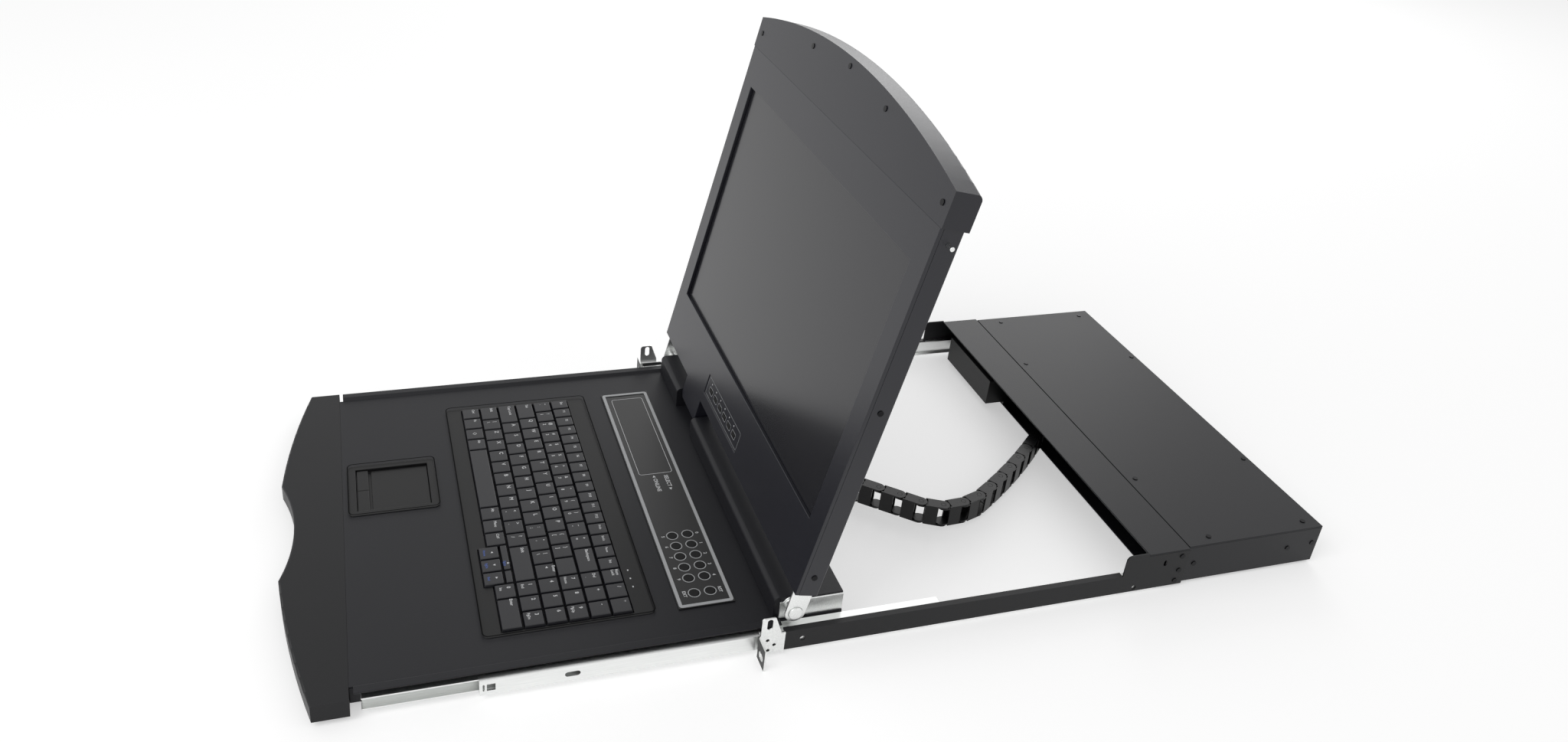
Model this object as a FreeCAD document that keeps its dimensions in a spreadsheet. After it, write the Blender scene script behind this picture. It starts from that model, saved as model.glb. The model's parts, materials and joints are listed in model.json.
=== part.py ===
import FreeCAD, Part
import math
import os
import Sketcher

# Rackmount console drawer: a sliding keyboard tray with a folding screen, and the switch case
# behind it.  X runs across the rack to the user's right, Y from front to rear, Z up.  Lengths are
# worked from the middle of the rack, the front face of the ears and the bottom of the rails; every
# sub-part is then lowered by slot_height, so that the origin lies on the line of the ear slots.
# The tray stands pulled right out and the lid is open.

Vector = FreeCAD.Vector
Rotation = FreeCAD.Rotation
SIDES = {"left": -1, "right": 1}

os.makedirs("parts", exist_ok=True)
doc = FreeCAD.newDocument("ConsoleDrawer")
sheet = doc.addObject("Spreadsheet::Sheet", "Sizes")


class Size:
    """A length or an angle: its formula over the sheet's cells, and its value."""

    def __init__(self, text, value):
        self.text = text
        self.value = value

    @staticmethod
    def of(number):
        return number if isinstance(number, Size) else Size(repr(number), number)

    def _with(self, other, sign, value):
        return Size(f"({self.text} {sign} {other.text})", value)

    def __add__(self, other):
        other = Size.of(other)
        return self._with(other, "+", self.value + other.value)

    def __sub__(self, other):
        other = Size.of(other)
        return self._with(other, "-", self.value - other.value)

    def __mul__(self, other):
        other = Size.of(other)
        return self._with(other, "*", self.value * other.value)

    def __truediv__(self, other):
        other = Size.of(other)
        return self._with(other, "/", self.value / other.value)

    def __radd__(self, other):
        return Size.of(other) + self

    def __rsub__(self, other):
        return Size.of(other) - self

    def __rmul__(self, other):
        return Size.of(other) * self

    def __neg__(self):
        return Size.of(-1) * self


def size(name, value):
    """Write one named value to the sheet."""
    row = 1 + len(sheet.getUsedCells())
    sheet.set(f"A{row}", str(value))
    sheet.setAlias(f"A{row}", name)
    return Size(f"Sizes.{name}", value)


def sagitta_radius(half_chord, rise):
    """Radius of the arc over a chord that rises this far in its middle."""
    return (half_chord * half_chord + rise * rise) / (2 * rise)


# Rack, rails and travel
travel = size("drawer_travel", 335.0)
slot_height = size("slot_height", 6.0)
slot_span = size("slot_span", 465.1)
metal = size("sheet_metal", 1.5)
rail_inner = slot_span / 2 - size("rail_slot_inset", 10.55)
rail_front = size("rail_front", 2.0)
rail_height = size("rail_height", 20.8)
rail_lip = size("rail_lip", 4.5)
rise_front = size("side_rise_front", 364.0)
rise_top = size("side_rise_top", 44.4)
rise_round = size("side_rise_round", 5.0)
rail_hole_radius = size("rail_hole_radius", 2.5)
rail_holes = [
    (size("rail_front_hole_y", 41.0), size("rail_front_hole_z", 10.0)),
    (rise_front + size("rise_hole_inset", 16.0), size("rise_hole_z", 4.3))]
rail_slot_z = size("rail_slot_z", 29.4)
rail_slot_long = size("rail_slot_long", 7.0)
rail_slot_wide = size("rail_slot_wide", 3.6)
seam_y = size("case_seam", 434.6)
seam_gap = size("case_seam_gap", 0.8)
case_rear = size("case_rear", 591.7)
case_half = rail_inner - size("case_side_gap", 0.9)
case_top = size("case_top", 42.8)
bay_rear = size("chain_bay_rear", 462.0)
bridge_front = size("bridge_front", 388.0)
rail_slot_y = bridge_front + size("rail_slot_rear", 21.0)
floor_front = size("floor_front", 411.0)
floor_half = rail_inner - size("floor_side_gap", 19.0)

# Rack ears
ear_outer = slot_span / 2 + size("ear_slot_margin", 8.75)
ear_reach = size("ear_reach", 24.0)
ear_top = size("ear_plate_top", 21.6)
flange_low = size("flange_low", -3.0)
flange_top = size("flange_top", 19.0)
tab_inner = rail_inner + size("tab_offset", 4.0)
tab_low = size("tab_low", 25.0)
tab_top = size("tab_top", 42.9)
tab_reach = size("tab_reach", 19.0)
tab_round = size("tab_round", 2.5)
ear_corner = size("ear_corner", 7.0)
ear_hole = size("ear_hole_radius", 1.6)
ear_holes = [
    (size("ear_upper_hole_y", 7.9), size("ear_upper_hole_z", 15.4)),
    (size("ear_middle_hole_y", 14.3), size("ear_middle_hole_z", 9.5)),
    (size("ear_lower_hole_y", 9.1), size("ear_lower_hole_z", 3.8))]
catch_y = size("catch_y", 7.5)
catch_width = size("catch_width", 5.0)
catch_low = size("catch_low", 30.0)
catch_top = size("catch_top", 41.6)
mount_slot_long = size("mount_slot_long", 10.0)
mount_slot_wide = size("mount_slot_wide", 6.8)

# Telescopic slides
slide_low = size("slide_low", 0.6)
slide_top = size("slide_top", 19.2)
slide_wall = size("slide_wall", 1.2)
slide_gap = size("slide_running_gap", 0.3)
outer_reach = rail_inner - size("slide_outer_depth", 5.0)
middle_reach = rail_inner - size("slide_middle_depth", 14.5)
slide_rear = size("slide_outer_rear", 414.0)
middle_front = size("slide_middle_front", -236.0)
middle_length = size("slide_middle_length", 412.0)
stop_slot_along = size("stop_slot_along", 76.0)
stop_slot_long = size("stop_slot_long", 13.0)
stop_slot_wide = size("stop_slot_wide", 5.0)
clip_slot_along = size("clip_slot_along", 3.5)
clip_slot_long = size("clip_slot_long", 7.0)
clip_slot_wide = size("clip_slot_wide", 1.6)
clip_hole_along = size("clip_hole_along", 9.5)
clip_hole_side = size("clip_hole_side", 7.0)
inner_front = size("slide_inner_front", -327.0)
inner_reach = rail_inner - size("slide_inner_gap", 5.2)

# Keyboard tray
tray_low = size("tray_low", 2.0)
tray_top = size("tray_top", 19.0)
tray_front = size("tray_front", -335.7)
tray_half = rail_inner - size("tray_side_gap", 16.2)
tray_rear = size("tray_rear", 84.0)
tray_wall_rear = size("tray_wall_rear", 50.0)
shelf_left = size("shelf_left", -90.0)
rim_rise = size("rim_rise", 2.8)
rim_foot = tray_half - size("rim_foot_inset", 0.7)
rim_inner = tray_half + size("rim_lean", 1.9)
rim_outer = tray_half + size("rim_width", 9.2)
rim_front = size("rim_front", -332.2)
rim_rear = size("rim_rear", 24.0)
rim_wall = size("rim_inner_wall", 0.5)

# Front bezel
bezel_half = rail_inner - size("bezel_side_gap", 2.8)
bezel_corner = size("bezel_corner", -365.0)
bezel_bow = size("bezel_bow", 29.1)
bezel_wall = size("bezel_wall", 2.5)
bezel_round = size("bezel_round", 2.0)
scallop_half = size("scallop_half", 67.8)
scallop_front = size("scallop_front", -391.3)
scallop_depth = size("scallop_depth", 12.0)

# Touchpad
pad_left = size("touch_frame_left", -85.0)
pad_right = size("touch_frame_right", -6.5)
pad_front = size("touch_frame_front", -330.0)
pad_rear = size("touch_frame_rear", -247.3)
pad_border = size("touch_border", 7.0)
pad_round = size("touch_frame_round", 4.0)
pad_gap = size("touch_plate_gap", 0.5)
pad_lip = size("touch_lip", 0.8)
pad_depth = size("touch_depth", 2.9)
pad_plate_front = size("touch_plate_front", -308.5)
click_front = size("click_front", -322.0)
click_rear = size("click_rear", -311.2)
click_split = size("click_split", -45.7)
click_travel = size("click_travel", 0.7)
click_sink = size("click_sink", 0.4)
rest_gap = size("rest_gap", 0.1)

# Keyboard
frame_left = size("keys_frame_left", -168.0)
frame_right = size("keys_frame_right", 176.0)
frame_front = size("keys_frame_front", -227.5)
frame_rear = size("keys_frame_rear", -79.5)
frame_lip = size("keys_frame_lip", 0.6)
frame_round = size("keys_frame_round", 5.0)
key_left = size("key_left", -163.5)
key_front = size("key_front", -212.0)
key_pitch = size("key_pitch", 18.9)
row_pitch = size("row_pitch", 19.05)
key_gap = size("key_gap", 0.7)
key_top = size("key_top", 22.0)
key_height = size("key_height", 3.4)
key_slope = size("key_slope", 0.9)
key_travel = size("key_travel", 2.4)
arrow_advance = size("arrow_advance", 8.0)
well_gap = size("well_gap", 0.5)
well_floor = size("well_floor", 1.2)

# Hotkey panel
panel_left = size("panel_left", -167.0)
panel_right = size("panel_right", 177.0)
panel_front = size("panel_front", -58.8)
panel_rear = size("panel_rear", -6.8)
panel_plate = size("panel_plate", 0.8)
panel_border = size("panel_border", 4.5)
panel_raise = size("panel_raise", 0.6)
hot_first = size("hot_first", 80.0)
hot_pitch = size("hot_pitch", 14.9)
hot_last = size("hot_last", 159.2)
hot_front = size("hot_front_row", -40.0)
hot_rear = size("hot_rear_row", -25.1)
hot_radius = size("hot_radius", 4.6)
hot_travel = size("hot_travel", 0.8)
button_gap = size("button_gap", 0.3)

# Rear housing of the tray and the hinge
riser_front = size("riser_front", 19.0)
riser_top = size("riser_top", 42.0)
riser_radius = size("riser_radius", 5.0)
riser_half = tray_half - size("riser_side_gap", 2.4)
riser_plate = size("riser_plate_top", 38.0)
gap_left = size("cable_gap_left", -133.0)
gap_right = size("cable_gap_right", -76.0)
hinge_y = size("hinge_y", 34.5)
hinge_z = size("hinge_z", 33.6)
pin_radius = size("pin_radius", 6.3)
pin_fit = size("pin_fit", 0.05)
pin_end = rail_inner - size("pin_side_gap", 4.5)
leaf_inner = pin_end - size("pin_past_leaf", 3.5)
leaf_thick = size("leaf_thick", 2.0)
leaf_radius = size("leaf_radius", 9.5)
knuckle = size("knuckle_radius", 8.0)
bracket_top = size("bracket_top", 37.0)

# Lid: s runs from the hinge axis along the lid, t from the axis towards the screen side
lid_open = size("lid_open_angle", 102.6)
lid_half = rail_inner + size("lid_overhang", 1.2)
lid_start = size("lid_start", 25.5)
lid_seam = size("lid_seam", 374.5)
lid_face = size("lid_face", 11.7)
lid_back = size("lid_back", 9.8)
lid_wall = size("lid_wall", 2.0)
lid_round = size("lid_back_round", 1.5)
bezel_thick = size("lid_bezel_thick", 3.5)
screen_half = lid_half - size("screen_side_border", 23.2)
screen_start = size("screen_start", 89.5)
screen_end = size("screen_end", 336.5)
panel_margin = size("lcd_margin", 5.0)
panel_thick = size("lcd_thick", 6.0)
tongue_left = size("tongue_left", -130.0)
tongue_right = size("tongue_right", -78.0)
tongue_back = size("tongue_back", 6.0)
tongue_chamfer = size("tongue_chamfer", 5.0)
osd_left = size("osd_left", -76.0)
osd_right = size("osd_right", 33.5)
osd_start = size("osd_start", 38.0)
osd_end = size("osd_end", 60.5)
osd_depth = size("osd_depth", 1.0)
osd_first = size("osd_first", -61.6)
osd_pitch = size("osd_pitch", 15.7)
osd_row = size("osd_row", 48.0)
osd_long = size("osd_long", 9.0)
osd_wide = size("osd_wide", 4.0)
osd_rise = size("osd_rise", 0.7)
osd_height = size("osd_height", 4.0)
cover_half = lid_half + size("cover_overhang", 1.4)
cover_end = size("cover_end", 405.0)
cover_crown = size("cover_crown", 29.0)
cover_back = size("cover_back", 12.8)
cover_wall = size("cover_wall", 2.5)
cover_round = size("cover_round", 5.0)
latch_radius = size("latch_radius", 2.0)
latch_tip = lid_half + size("latch_reach", 7.6)
latch_length = size("latch_length", 20.0)

# Cable chain
chain_pitch = size("chain_pitch", 22.5)
chain_half = size("chain_half_width", 6.15)
chain_low = size("chain_low", 4.0)
chain_top = size("chain_top", 27.0)
chain_plate = size("chain_plate", 1.3)
chain_bar = size("chain_bar", 1.4)
plate_start = size("chain_plate_start", 7.0)
plate_end = size("chain_plate_end", 15.5)
bar_start = size("chain_bar_start", 4.7)
bar_end = size("chain_bar_end", 17.8)
plate_gap = size("chain_plate_gap", 0.2)
stud_radius = size("chain_stud_radius", 2.2)
anchor_x = size("chain_anchor_x", -56.0)
anchor_y = size("chain_anchor_y", 452.0)
anchor_bend = size("chain_anchor_bend", 42.3)
run_bend = size("chain_run_bend", 1.7)
turn_start = size("chain_turn_start", 14.9)
turn_middle = size("chain_turn_middle", 29.1)
run_links = size("chain_run_links", 10)
straight_links = size("chain_straight_links", 8)
first_turn = size("chain_first_turning_link", 4)
second_turn = size("chain_second_turning_link", 7)
end_gap = size("chain_end_gap", 1.5)

# Switch case and power box
power_left = size("power_left", -196.0)
power_right = size("power_right", -94.0)
power_front = size("power_front", 387.0)
power_low = size("power_low", 5.0)
power_top = size("power_top", 36.0)
screw_radius = size("screw_radius", 2.6)
screw_head = size("screw_head", 0.7)
lid_plate_screws = [
    (case_half - size("front_corner_screw_inset", 10.1), seam_y + size("front_corner_screw_back", 28.4)),
    (size("rear_screw_x", 105.7), case_rear - size("rear_screw_inset", 5.7)),
    (case_half - size("rear_corner_screw_inset", 11.1), case_rear - size("rear_corner_screw_front", 15.9)),
    (size("front_screw_x", 114.0), seam_y + size("front_screw_back", 9.9))]
case_side_screws = [
    (seam_y + size("case_front_screw_back", 10.5), size("case_front_screw_z", 21.0)),
    (case_rear - size("case_middle_screw_front", 35.7), size("case_middle_screw_z", 21.2)),
    (case_rear - size("case_rear_screw_front", 6.3), size("case_rear_screw_z", 22.9))]
rail_side_screws = [
    (seam_y - size("rail_upper_screw_front", 8.1), size("rail_upper_screw_z", 35.0)),
    (seam_y - size("rail_middle_screw_front", 7.4), size("rail_middle_screw_z", 17.7)),
    (seam_y - size("rail_lower_screw_front", 8.5), size("rail_lower_screw_z", 5.1))]
cover_edge_screws = [
    (cover_half - size("cover_corner_screw_inset", 11.6), lid_seam + size("cover_corner_screw_rise", 16.5)),
    (size("cover_screw_x", 85.0), cover_end + size("cover_screw_rise", 12.5))]
cover_top_screw = cover_end + size("cover_top_screw_rise", 21.0)
lid_side_screws = [lid_seam - size("lid_upper_screw_drop", 162.5), lid_start + size("lid_lower_screw_rise", 19.5)]

nodes = []
cuts = []


def place(part, node, on_lid=False):
    """Name a sub-part, lower it to the slot line and, on the lid, turn it to the open lid."""
    part.Label = node
    nodes.append(part)
    if on_lid:
        part.Placement = FreeCAD.Placement(Vector(), Rotation(Vector(1, 0, 0), -lid_open.value))
        part.setExpression("Placement.Rotation.Angle", f"-{lid_open.text} * 1deg")
        part.setExpression("Placement.Base.y", hinge_y.text)
        part.setExpression("Placement.Base.z", (hinge_z - slot_height).text)
    else:
        part.setExpression("Placement.Base.z", (-slot_height).text)


def new_body(node, on_lid=False):
    body = doc.addObject("PartDesign::Body", node)
    place(body, node, on_lid)
    return body


def fix(sketch, kind, places, value):
    """Add one dimension to a sketch, tied to the sheet."""
    value = Size.of(value)
    index = sketch.addConstraint(Sketcher.Constraint(kind, *places, float(value.value)))
    sketch.setExpression(f"Constraints[{index}]", value.text)


def fix_point(sketch, edge, end, point):
    fix(sketch, "DistanceX", (-1, 1, edge, end), point[0])
    fix(sketch, "DistanceY", (-1, 1, edge, end), point[1])


class Outline:
    """A closed outline through fixed corners; arcs gives the radius of an edge that is an arc.

    A positive radius bulges to the right of the way round, a negative one to the left.
    """

    def __init__(self, corners, arcs=None):
        self.corners = [tuple(Size.of(value) for value in corner) for corner in corners]
        self.arcs = arcs or {}

    def draw(self, sketch):
        count = len(self.corners)
        points = [Vector(u.value, v.value, 0) for u, v in self.corners]
        edges = []
        for index, start in enumerate(points):
            end = points[(index + 1) % count]
            if index in self.arcs:
                edges.append(sketch.addGeometry(self._arc(start, end, self.arcs[index]), False))
            else:
                edges.append(sketch.addGeometry(Part.LineSegment(start, end), False))
        ends = [(2, 1) if index not in self.arcs or self.arcs[index].value > 0 else (1, 2)
                for index in range(count)]
        for index in range(count):
            after = (index + 1) % count
            sketch.addConstraint(Sketcher.Constraint(
                "Coincident", edges[index], ends[index][0], edges[after], ends[after][1]))
        for index in range(count):
            fix_point(sketch, edges[index], ends[index][1], self.corners[index])
            if index in self.arcs:
                radius = self.arcs[index]
                fix(sketch, "Radius", (edges[index],), radius if radius.value > 0 else -radius)

    @staticmethod
    def _arc(start, end, radius):
        chord = end - start
        half = chord.Length / 2
        side = 1 if radius.value > 0 else -1
        right = Vector(chord.y, -chord.x, 0).normalize() * side
        depth = math.sqrt(radius.value ** 2 - half ** 2)
        middle = (start + end) / 2 + right * (abs(radius.value) - depth)
        return Part.Arc(start, middle, end)


def rectangle(u_low, u_high, v_low, v_high):
    return Outline([(u_low, v_low), (u_high, v_low), (u_high, v_high), (u_low, v_high)])


class Round:
    """A circle of one centre and radius."""

    def __init__(self, u, v, radius):
        self.centre = (Size.of(u), Size.of(v))
        self.radius = Size.of(radius)

    def draw(self, sketch):
        centre = Vector(self.centre[0].value, self.centre[1].value, 0)
        circle = Part.Circle(centre, Vector(0, 0, 1), self.radius.value)
        edge = sketch.addGeometry(circle, False)
        fix_point(sketch, edge, 3, self.centre)
        fix(sketch, "Radius", (edge,), self.radius)


def slot(u, v, length, width, upright=False):
    """A slot with round ends, as two arcs and two straight sides."""
    u, v = Size.of(u), Size.of(v)
    reach = (length - width) / 2
    half = width / 2
    if upright:
        corners = [(u - half, v + reach), (u - half, v - reach), (u + half, v - reach), (u + half, v + reach)]
    else:
        corners = [(u - reach, v - half), (u + reach, v - half), (u + reach, v + half), (u - reach, v + half)]
    # a hair over half the width keeps each end arc just short of a full half turn
    near_half = width * 0.5001
    return Outline(corners, {1: near_half, 3: near_half})


PLANES = {"XY": 1, "YZ": 1, "XZ": -1}


def new_sketch(body, plane, shapes, level):
    """Draw shapes on the plane XY, YZ or XZ at this distance along its axis."""
    name = f"{body.Name}_outline"
    sketch = body.newObject("Sketcher::SketchObject", name)
    support = [item for item in body.Origin.OriginFeatures if item.Role == f"{plane}_Plane"][0]
    sketch.AttachmentSupport = (support, "")
    sketch.MapMode = "FlatFace"
    sketch.setExpression("AttachmentOffset.Base.z", (PLANES[plane] * Size.of(level)).text)
    sketch.AttachmentOffset = FreeCAD.Placement(Vector(0, 0, PLANES[plane] * Size.of(level).value), Rotation())
    for shape in shapes:
        shape.draw(sketch)
    return sketch


def pad(body, plane, shapes, start, stop, taper=None):
    """Raise shapes from start to stop along the plane's axis."""
    level = stop if plane == "XZ" else start
    sketch = new_sketch(body, plane, shapes, level)
    feature = body.newObject("PartDesign::Pad", f"{body.Name}_pad")
    feature.Profile = sketch
    feature.setExpression("Length", (Size.of(stop) - start).text)
    if taper is not None:
        feature.setExpression("TaperAngle", taper.text)
    return feature


def pocket(body, plane, shapes, start, stop):
    """Cut shapes out of the body from start to stop along the plane's axis."""
    base = body.Tip
    level = start if plane == "XZ" else stop
    sketch = new_sketch(body, plane, shapes, level)
    feature = body.newObject("PartDesign::Pocket", f"{body.Name}_cut")
    feature.Profile = sketch
    feature.setExpression("Length", (Size.of(stop) - start).text)
    cuts.append((feature, base))
    return feature


def round_edges(body, radius, wanted):
    """Round the edges of the body whose middle point meets a condition."""
    doc.recompute()
    base = body.Tip
    names = []
    for index, edge in enumerate(base.Shape.Edges, start=1):
        middle = edge.valueAt((edge.FirstParameter + edge.LastParameter) / 2)
        if wanted(edge, middle):
            names.append(f"Edge{index}")
    if not names:
        raise RuntimeError(f"{body.Label}: no edge to round")
    feature = body.newObject("PartDesign::Fillet", f"{body.Name}_round")
    feature.Base = (base, names)
    feature.setExpression("Radius", radius.text)


def along(edge, axis):
    """True where an edge is straight and runs along one axis."""
    direction = edge.tangentAt(edge.FirstParameter)
    return edge.Curve.TypeId == "Part::GeomLine" and abs(direction.dot(axis)) > 0.999


def close(value, size_value):
    return abs(value - size_value.value) < 0.01


def span(side, inner, outer):
    """The stretch between two distances from the middle, on the left or the right."""
    return (inner, outer) if side > 0 else (-outer, -inner)


def side_box(side, inner, outer, v_low, v_high):
    low, high = span(side, inner, outer)
    return rectangle(low, high, v_low, v_high)


# ---- Rails, ears and slides ----
rail_outer = rail_inner + metal
bridge_low = case_top - metal
ear_side = rail_outer + metal
for word, side in SIDES.items():
    rail = new_body(f"rail_{word}")
    pad(rail, "YZ", [Outline([
        (rail_front, 0), (seam_y, 0), (seam_y, bridge_low), (bridge_front, bridge_low),
        (bridge_front, rise_top), (rise_front, rise_top), (rise_front, rail_height),
        (rail_front, rail_height)])], *span(side, rail_inner, rail_outer))
    pad(rail, "XZ", [side_box(side, rail_inner - rail_lip, rail_inner, rail_height - metal, rail_height)],
        ear_reach, rise_front)
    pad(rail, "XZ", [side_box(side, rail_inner - rail_lip, rail_inner, bridge_low - metal, bridge_low)],
        bridge_front, seam_y)
    pocket(rail, "YZ", [Round(y, z, rail_hole_radius) for y, z in rail_holes] + [
        slot(rail_slot_y, rail_slot_z, rail_slot_long, rail_slot_wide, True)], *span(side, rail_inner, rail_outer))
    round_edges(rail, rise_round, lambda edge, middle: along(edge, Vector(1, 0, 0))
                and close(middle.y, rise_front) and close(middle.z, rise_top))

    ear = new_body(f"rack_ear_{word}")
    pad(ear, "YZ", [Outline([
        (0, ear_corner), (ear_corner, 0), (ear_reach, 0), (ear_reach, ear_top), (0, ear_top)])],
        *span(side, rail_outer, ear_side))
    pad(ear, "XZ", [side_box(side, rail_outer, ear_outer, flange_low, flange_top)], 0, metal)
    tab_outer = tab_inner + metal
    joggle_low = ear_top - metal
    joggle = [(rail_outer, joggle_low), (ear_side, joggle_low), (tab_outer, tab_low), (tab_inner, tab_low)]
    pad(ear, "XZ", [Outline([(side * x, z) for x, z in joggle])], 0, tab_reach)
    pad(ear, "YZ", [Outline([
        (0, tab_low), (tab_reach, tab_low), (catch_y + catch_width, tab_top), (0, tab_top)])],
        *span(side, tab_inner, tab_outer))
    pocket(ear, "XZ", [slot(side * slot_span / 2, slot_height, mount_slot_long, mount_slot_wide)], 0, metal)
    pocket(ear, "YZ", [slot(catch_y, (catch_low + catch_top) / 2, catch_top - catch_low, catch_width, True)],
           *span(side, tab_inner, tab_outer))
    pocket(ear, "YZ", [Round(y, z, ear_hole) for y, z in ear_holes], *span(side, rail_outer, ear_side))
    round_edges(ear, tab_round, lambda edge, middle: along(edge, Vector(1, 0, 0)) and close(middle.z, tab_top))

    # outer member, screwed to the rail: a channel open to the middle of the rack
    outer_slide = new_body(f"slide_outer_{word}")
    outer_web = rail_inner - slide_wall
    pad(outer_slide, "XZ", [side_box(side, outer_reach, rail_inner, slide_low, slide_top)],
        rail_front, slide_rear)
    pocket(outer_slide, "XZ", [side_box(
        side, outer_reach, outer_web, slide_low + slide_wall, slide_top - slide_wall)],
        rail_front, slide_rear)

    # middle member: a smaller channel nested in the outer one
    middle_slide = new_body(f"slide_middle_{word}")
    middle_low = slide_low + slide_wall + slide_gap
    middle_top = slide_top - slide_wall - slide_gap
    middle_face = outer_web - slide_gap
    middle_web = middle_face - slide_wall
    middle_rear = middle_front + middle_length
    pad(middle_slide, "XZ", [side_box(side, middle_reach, middle_face, middle_low, middle_top)],
        middle_front, middle_rear)
    pocket(middle_slide, "XZ", [side_box(
        side, middle_reach, middle_web, middle_low + slide_wall, middle_top - slide_wall)],
        middle_front, middle_rear)
    middle_height = (middle_low + middle_top) / 2
    clip_y = middle_front + clip_hole_along
    pocket(middle_slide, "YZ", [
        slot(middle_front + clip_slot_along, middle_height, clip_slot_long, clip_slot_wide, True),
        slot(middle_front + stop_slot_along, middle_height, stop_slot_long, stop_slot_wide),
        rectangle(clip_y - clip_hole_side / 2, clip_y + clip_hole_side / 2,
                  middle_height - clip_hole_side / 2, middle_height + clip_hole_side / 2)],
        *span(side, middle_web, middle_face))

    # inner member, riveted to the side of the tray: a channel open outwards
    inner_slide = new_body(f"slide_inner_{word}")
    inner_low = middle_low + slide_wall + slide_gap
    inner_top = middle_top - slide_wall - slide_gap
    pad(inner_slide, "XZ", [side_box(side, tray_half, inner_reach, inner_low, inner_top)],
        inner_front, tray_rear)
    pocket(inner_slide, "XZ", [side_box(
        side, tray_half + slide_wall, inner_reach, inner_low + slide_wall, inner_top - slide_wall)],
        inner_front, tray_rear)

# ---- Switch case behind the drawer ----
case = new_body("switch_case")
pad(case, "XY", [rectangle(-case_half, case_half, seam_y, case_rear)], 0, bridge_low)
pad(case, "XY", [rectangle(-floor_half, floor_half, floor_front, seam_y)], 0, metal)
case_inside = case_half - metal
pocket(case, "XY", [rectangle(-case_inside, case_inside, seam_y, bay_rear)], metal, bridge_low)
pocket(case, "XY", [rectangle(-case_inside, case_inside, bay_rear + metal, case_rear - metal)],
       metal, bridge_low)

case_lid = new_body("switch_lid")
pad(case_lid, "XY", [rectangle(-case_half, case_half, seam_y, case_rear)], bridge_low, case_top)

bridge = new_body("bridge_plate")
pad(bridge, "XY", [rectangle(-rail_outer, rail_outer, bridge_front, seam_y - seam_gap)], bridge_low, case_top)

power = new_body("power_box")
pad(power, "XY", [rectangle(power_left, power_right, power_front, bay_rear)], power_low, power_top)
pad(power, "XY", [rectangle(power_left, power_right, floor_front, bay_rear)], metal, power_low)

screws = new_body("chassis_screws")
pad(screws, "XY", [Round(side * x, y, screw_radius) for x, y in lid_plate_screws for side in (-1, 1)],
    case_top, case_top + screw_head)
for word, side in SIDES.items():
    pad(screws, "YZ", [Round(y, z, screw_radius) for y, z in case_side_screws],
        *span(side, case_half, case_half + screw_head))
    pad(screws, "YZ", [Round(y, z, screw_radius) for y, z in rail_side_screws],
        *span(side, rail_outer, rail_outer + screw_head))

# ---- Keyboard tray ----
top_under = tray_top - metal
shelf_top = tray_low + metal
pan = new_body("tray_pan")
pad(pan, "XY", [rectangle(-tray_half, tray_half, tray_front, tray_rear)], tray_low, tray_top)
pocket(pan, "XY", [rectangle(-tray_half + metal, tray_half - metal, tray_front, tray_wall_rear - metal)],
       shelf_top, tray_top)
pocket(pan, "XY", [rectangle(-tray_half + metal, tray_half - metal, tray_wall_rear, tray_rear)],
       shelf_top, tray_top)
pocket(pan, "XY", [rectangle(-tray_half, tray_half, tray_front, tray_wall_rear)], top_under, tray_top)
pocket(pan, "XY", [rectangle(-tray_half + metal, shelf_left, tray_wall_rear, tray_rear)],
       tray_low, shelf_top)

plate = new_body("tray_plate")
rim_top = tray_top + rim_rise
rim_under = rim_top - metal
rim_side = [(rim_outer, rim_under), (rim_outer, rim_top), (rim_inner, rim_top), (rim_foot, tray_top)]
rim_low = [(rim_inner + rim_wall, rim_under), (tray_half, top_under)]
profile = rim_side + [(-x, z) for x, z in reversed(rim_side)]
profile += [(-x, z) for x, z in rim_low] + [(x, z) for x, z in reversed(rim_low)]
pad(plate, "XZ", [Outline(profile)], rim_front, rim_rear)
pad(plate, "XZ", [rectangle(-rim_foot, rim_foot, top_under, tray_top)], tray_front, rim_front)
pad(plate, "XZ", [rectangle(-rim_foot, rim_foot, top_under, tray_top)], rim_rear, tray_wall_rear)

touch_opening = rectangle(pad_left + pad_border - metal, pad_right - pad_border + metal,
                          pad_front + pad_border - metal, pad_rear - pad_border + metal)
keys_opening = rectangle(frame_left + metal, frame_right - metal, frame_front + metal, frame_rear - metal)
panel_opening = rectangle(panel_left + panel_border, panel_right - panel_border,
                          panel_front + panel_border, panel_rear - panel_border)
pocket(plate, "XY", [touch_opening, keys_opening, panel_opening], top_under, tray_top)

front = new_body("front_bezel")
bow_radius = sagitta_radius(bezel_half, bezel_bow)
pad(front, "XY", [Outline([
    (bezel_half, tray_front), (-bezel_half, tray_front), (-bezel_half, bezel_corner),
    (bezel_half, bezel_corner)], {2: bow_radius})], tray_low, tray_top)
scallop_radius = sagitta_radius(scallop_half, scallop_depth)
scallop_centre = scallop_front + scallop_depth - scallop_radius
hollow_front = bezel_corner + bezel_wall
hollow_half = bezel_half - bezel_wall
hollow_middle = scallop_front + scallop_depth + bezel_wall
pocket(front, "XY", [Outline([
    (hollow_half, tray_front - bezel_wall), (-hollow_half, tray_front - bezel_wall),
    (-hollow_half, hollow_front), (-scallop_half * 2, hollow_middle), (scallop_half * 2, hollow_middle),
    (hollow_half, hollow_front)])], tray_low, tray_top - bezel_wall)
pocket(front, "XY", [Round(0, scallop_centre, scallop_radius)], tray_low, tray_top)
round_edges(front, bezel_round, lambda edge, middle: close(middle.z, tray_top)
            and middle.y < bezel_corner.value + 1)

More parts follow.
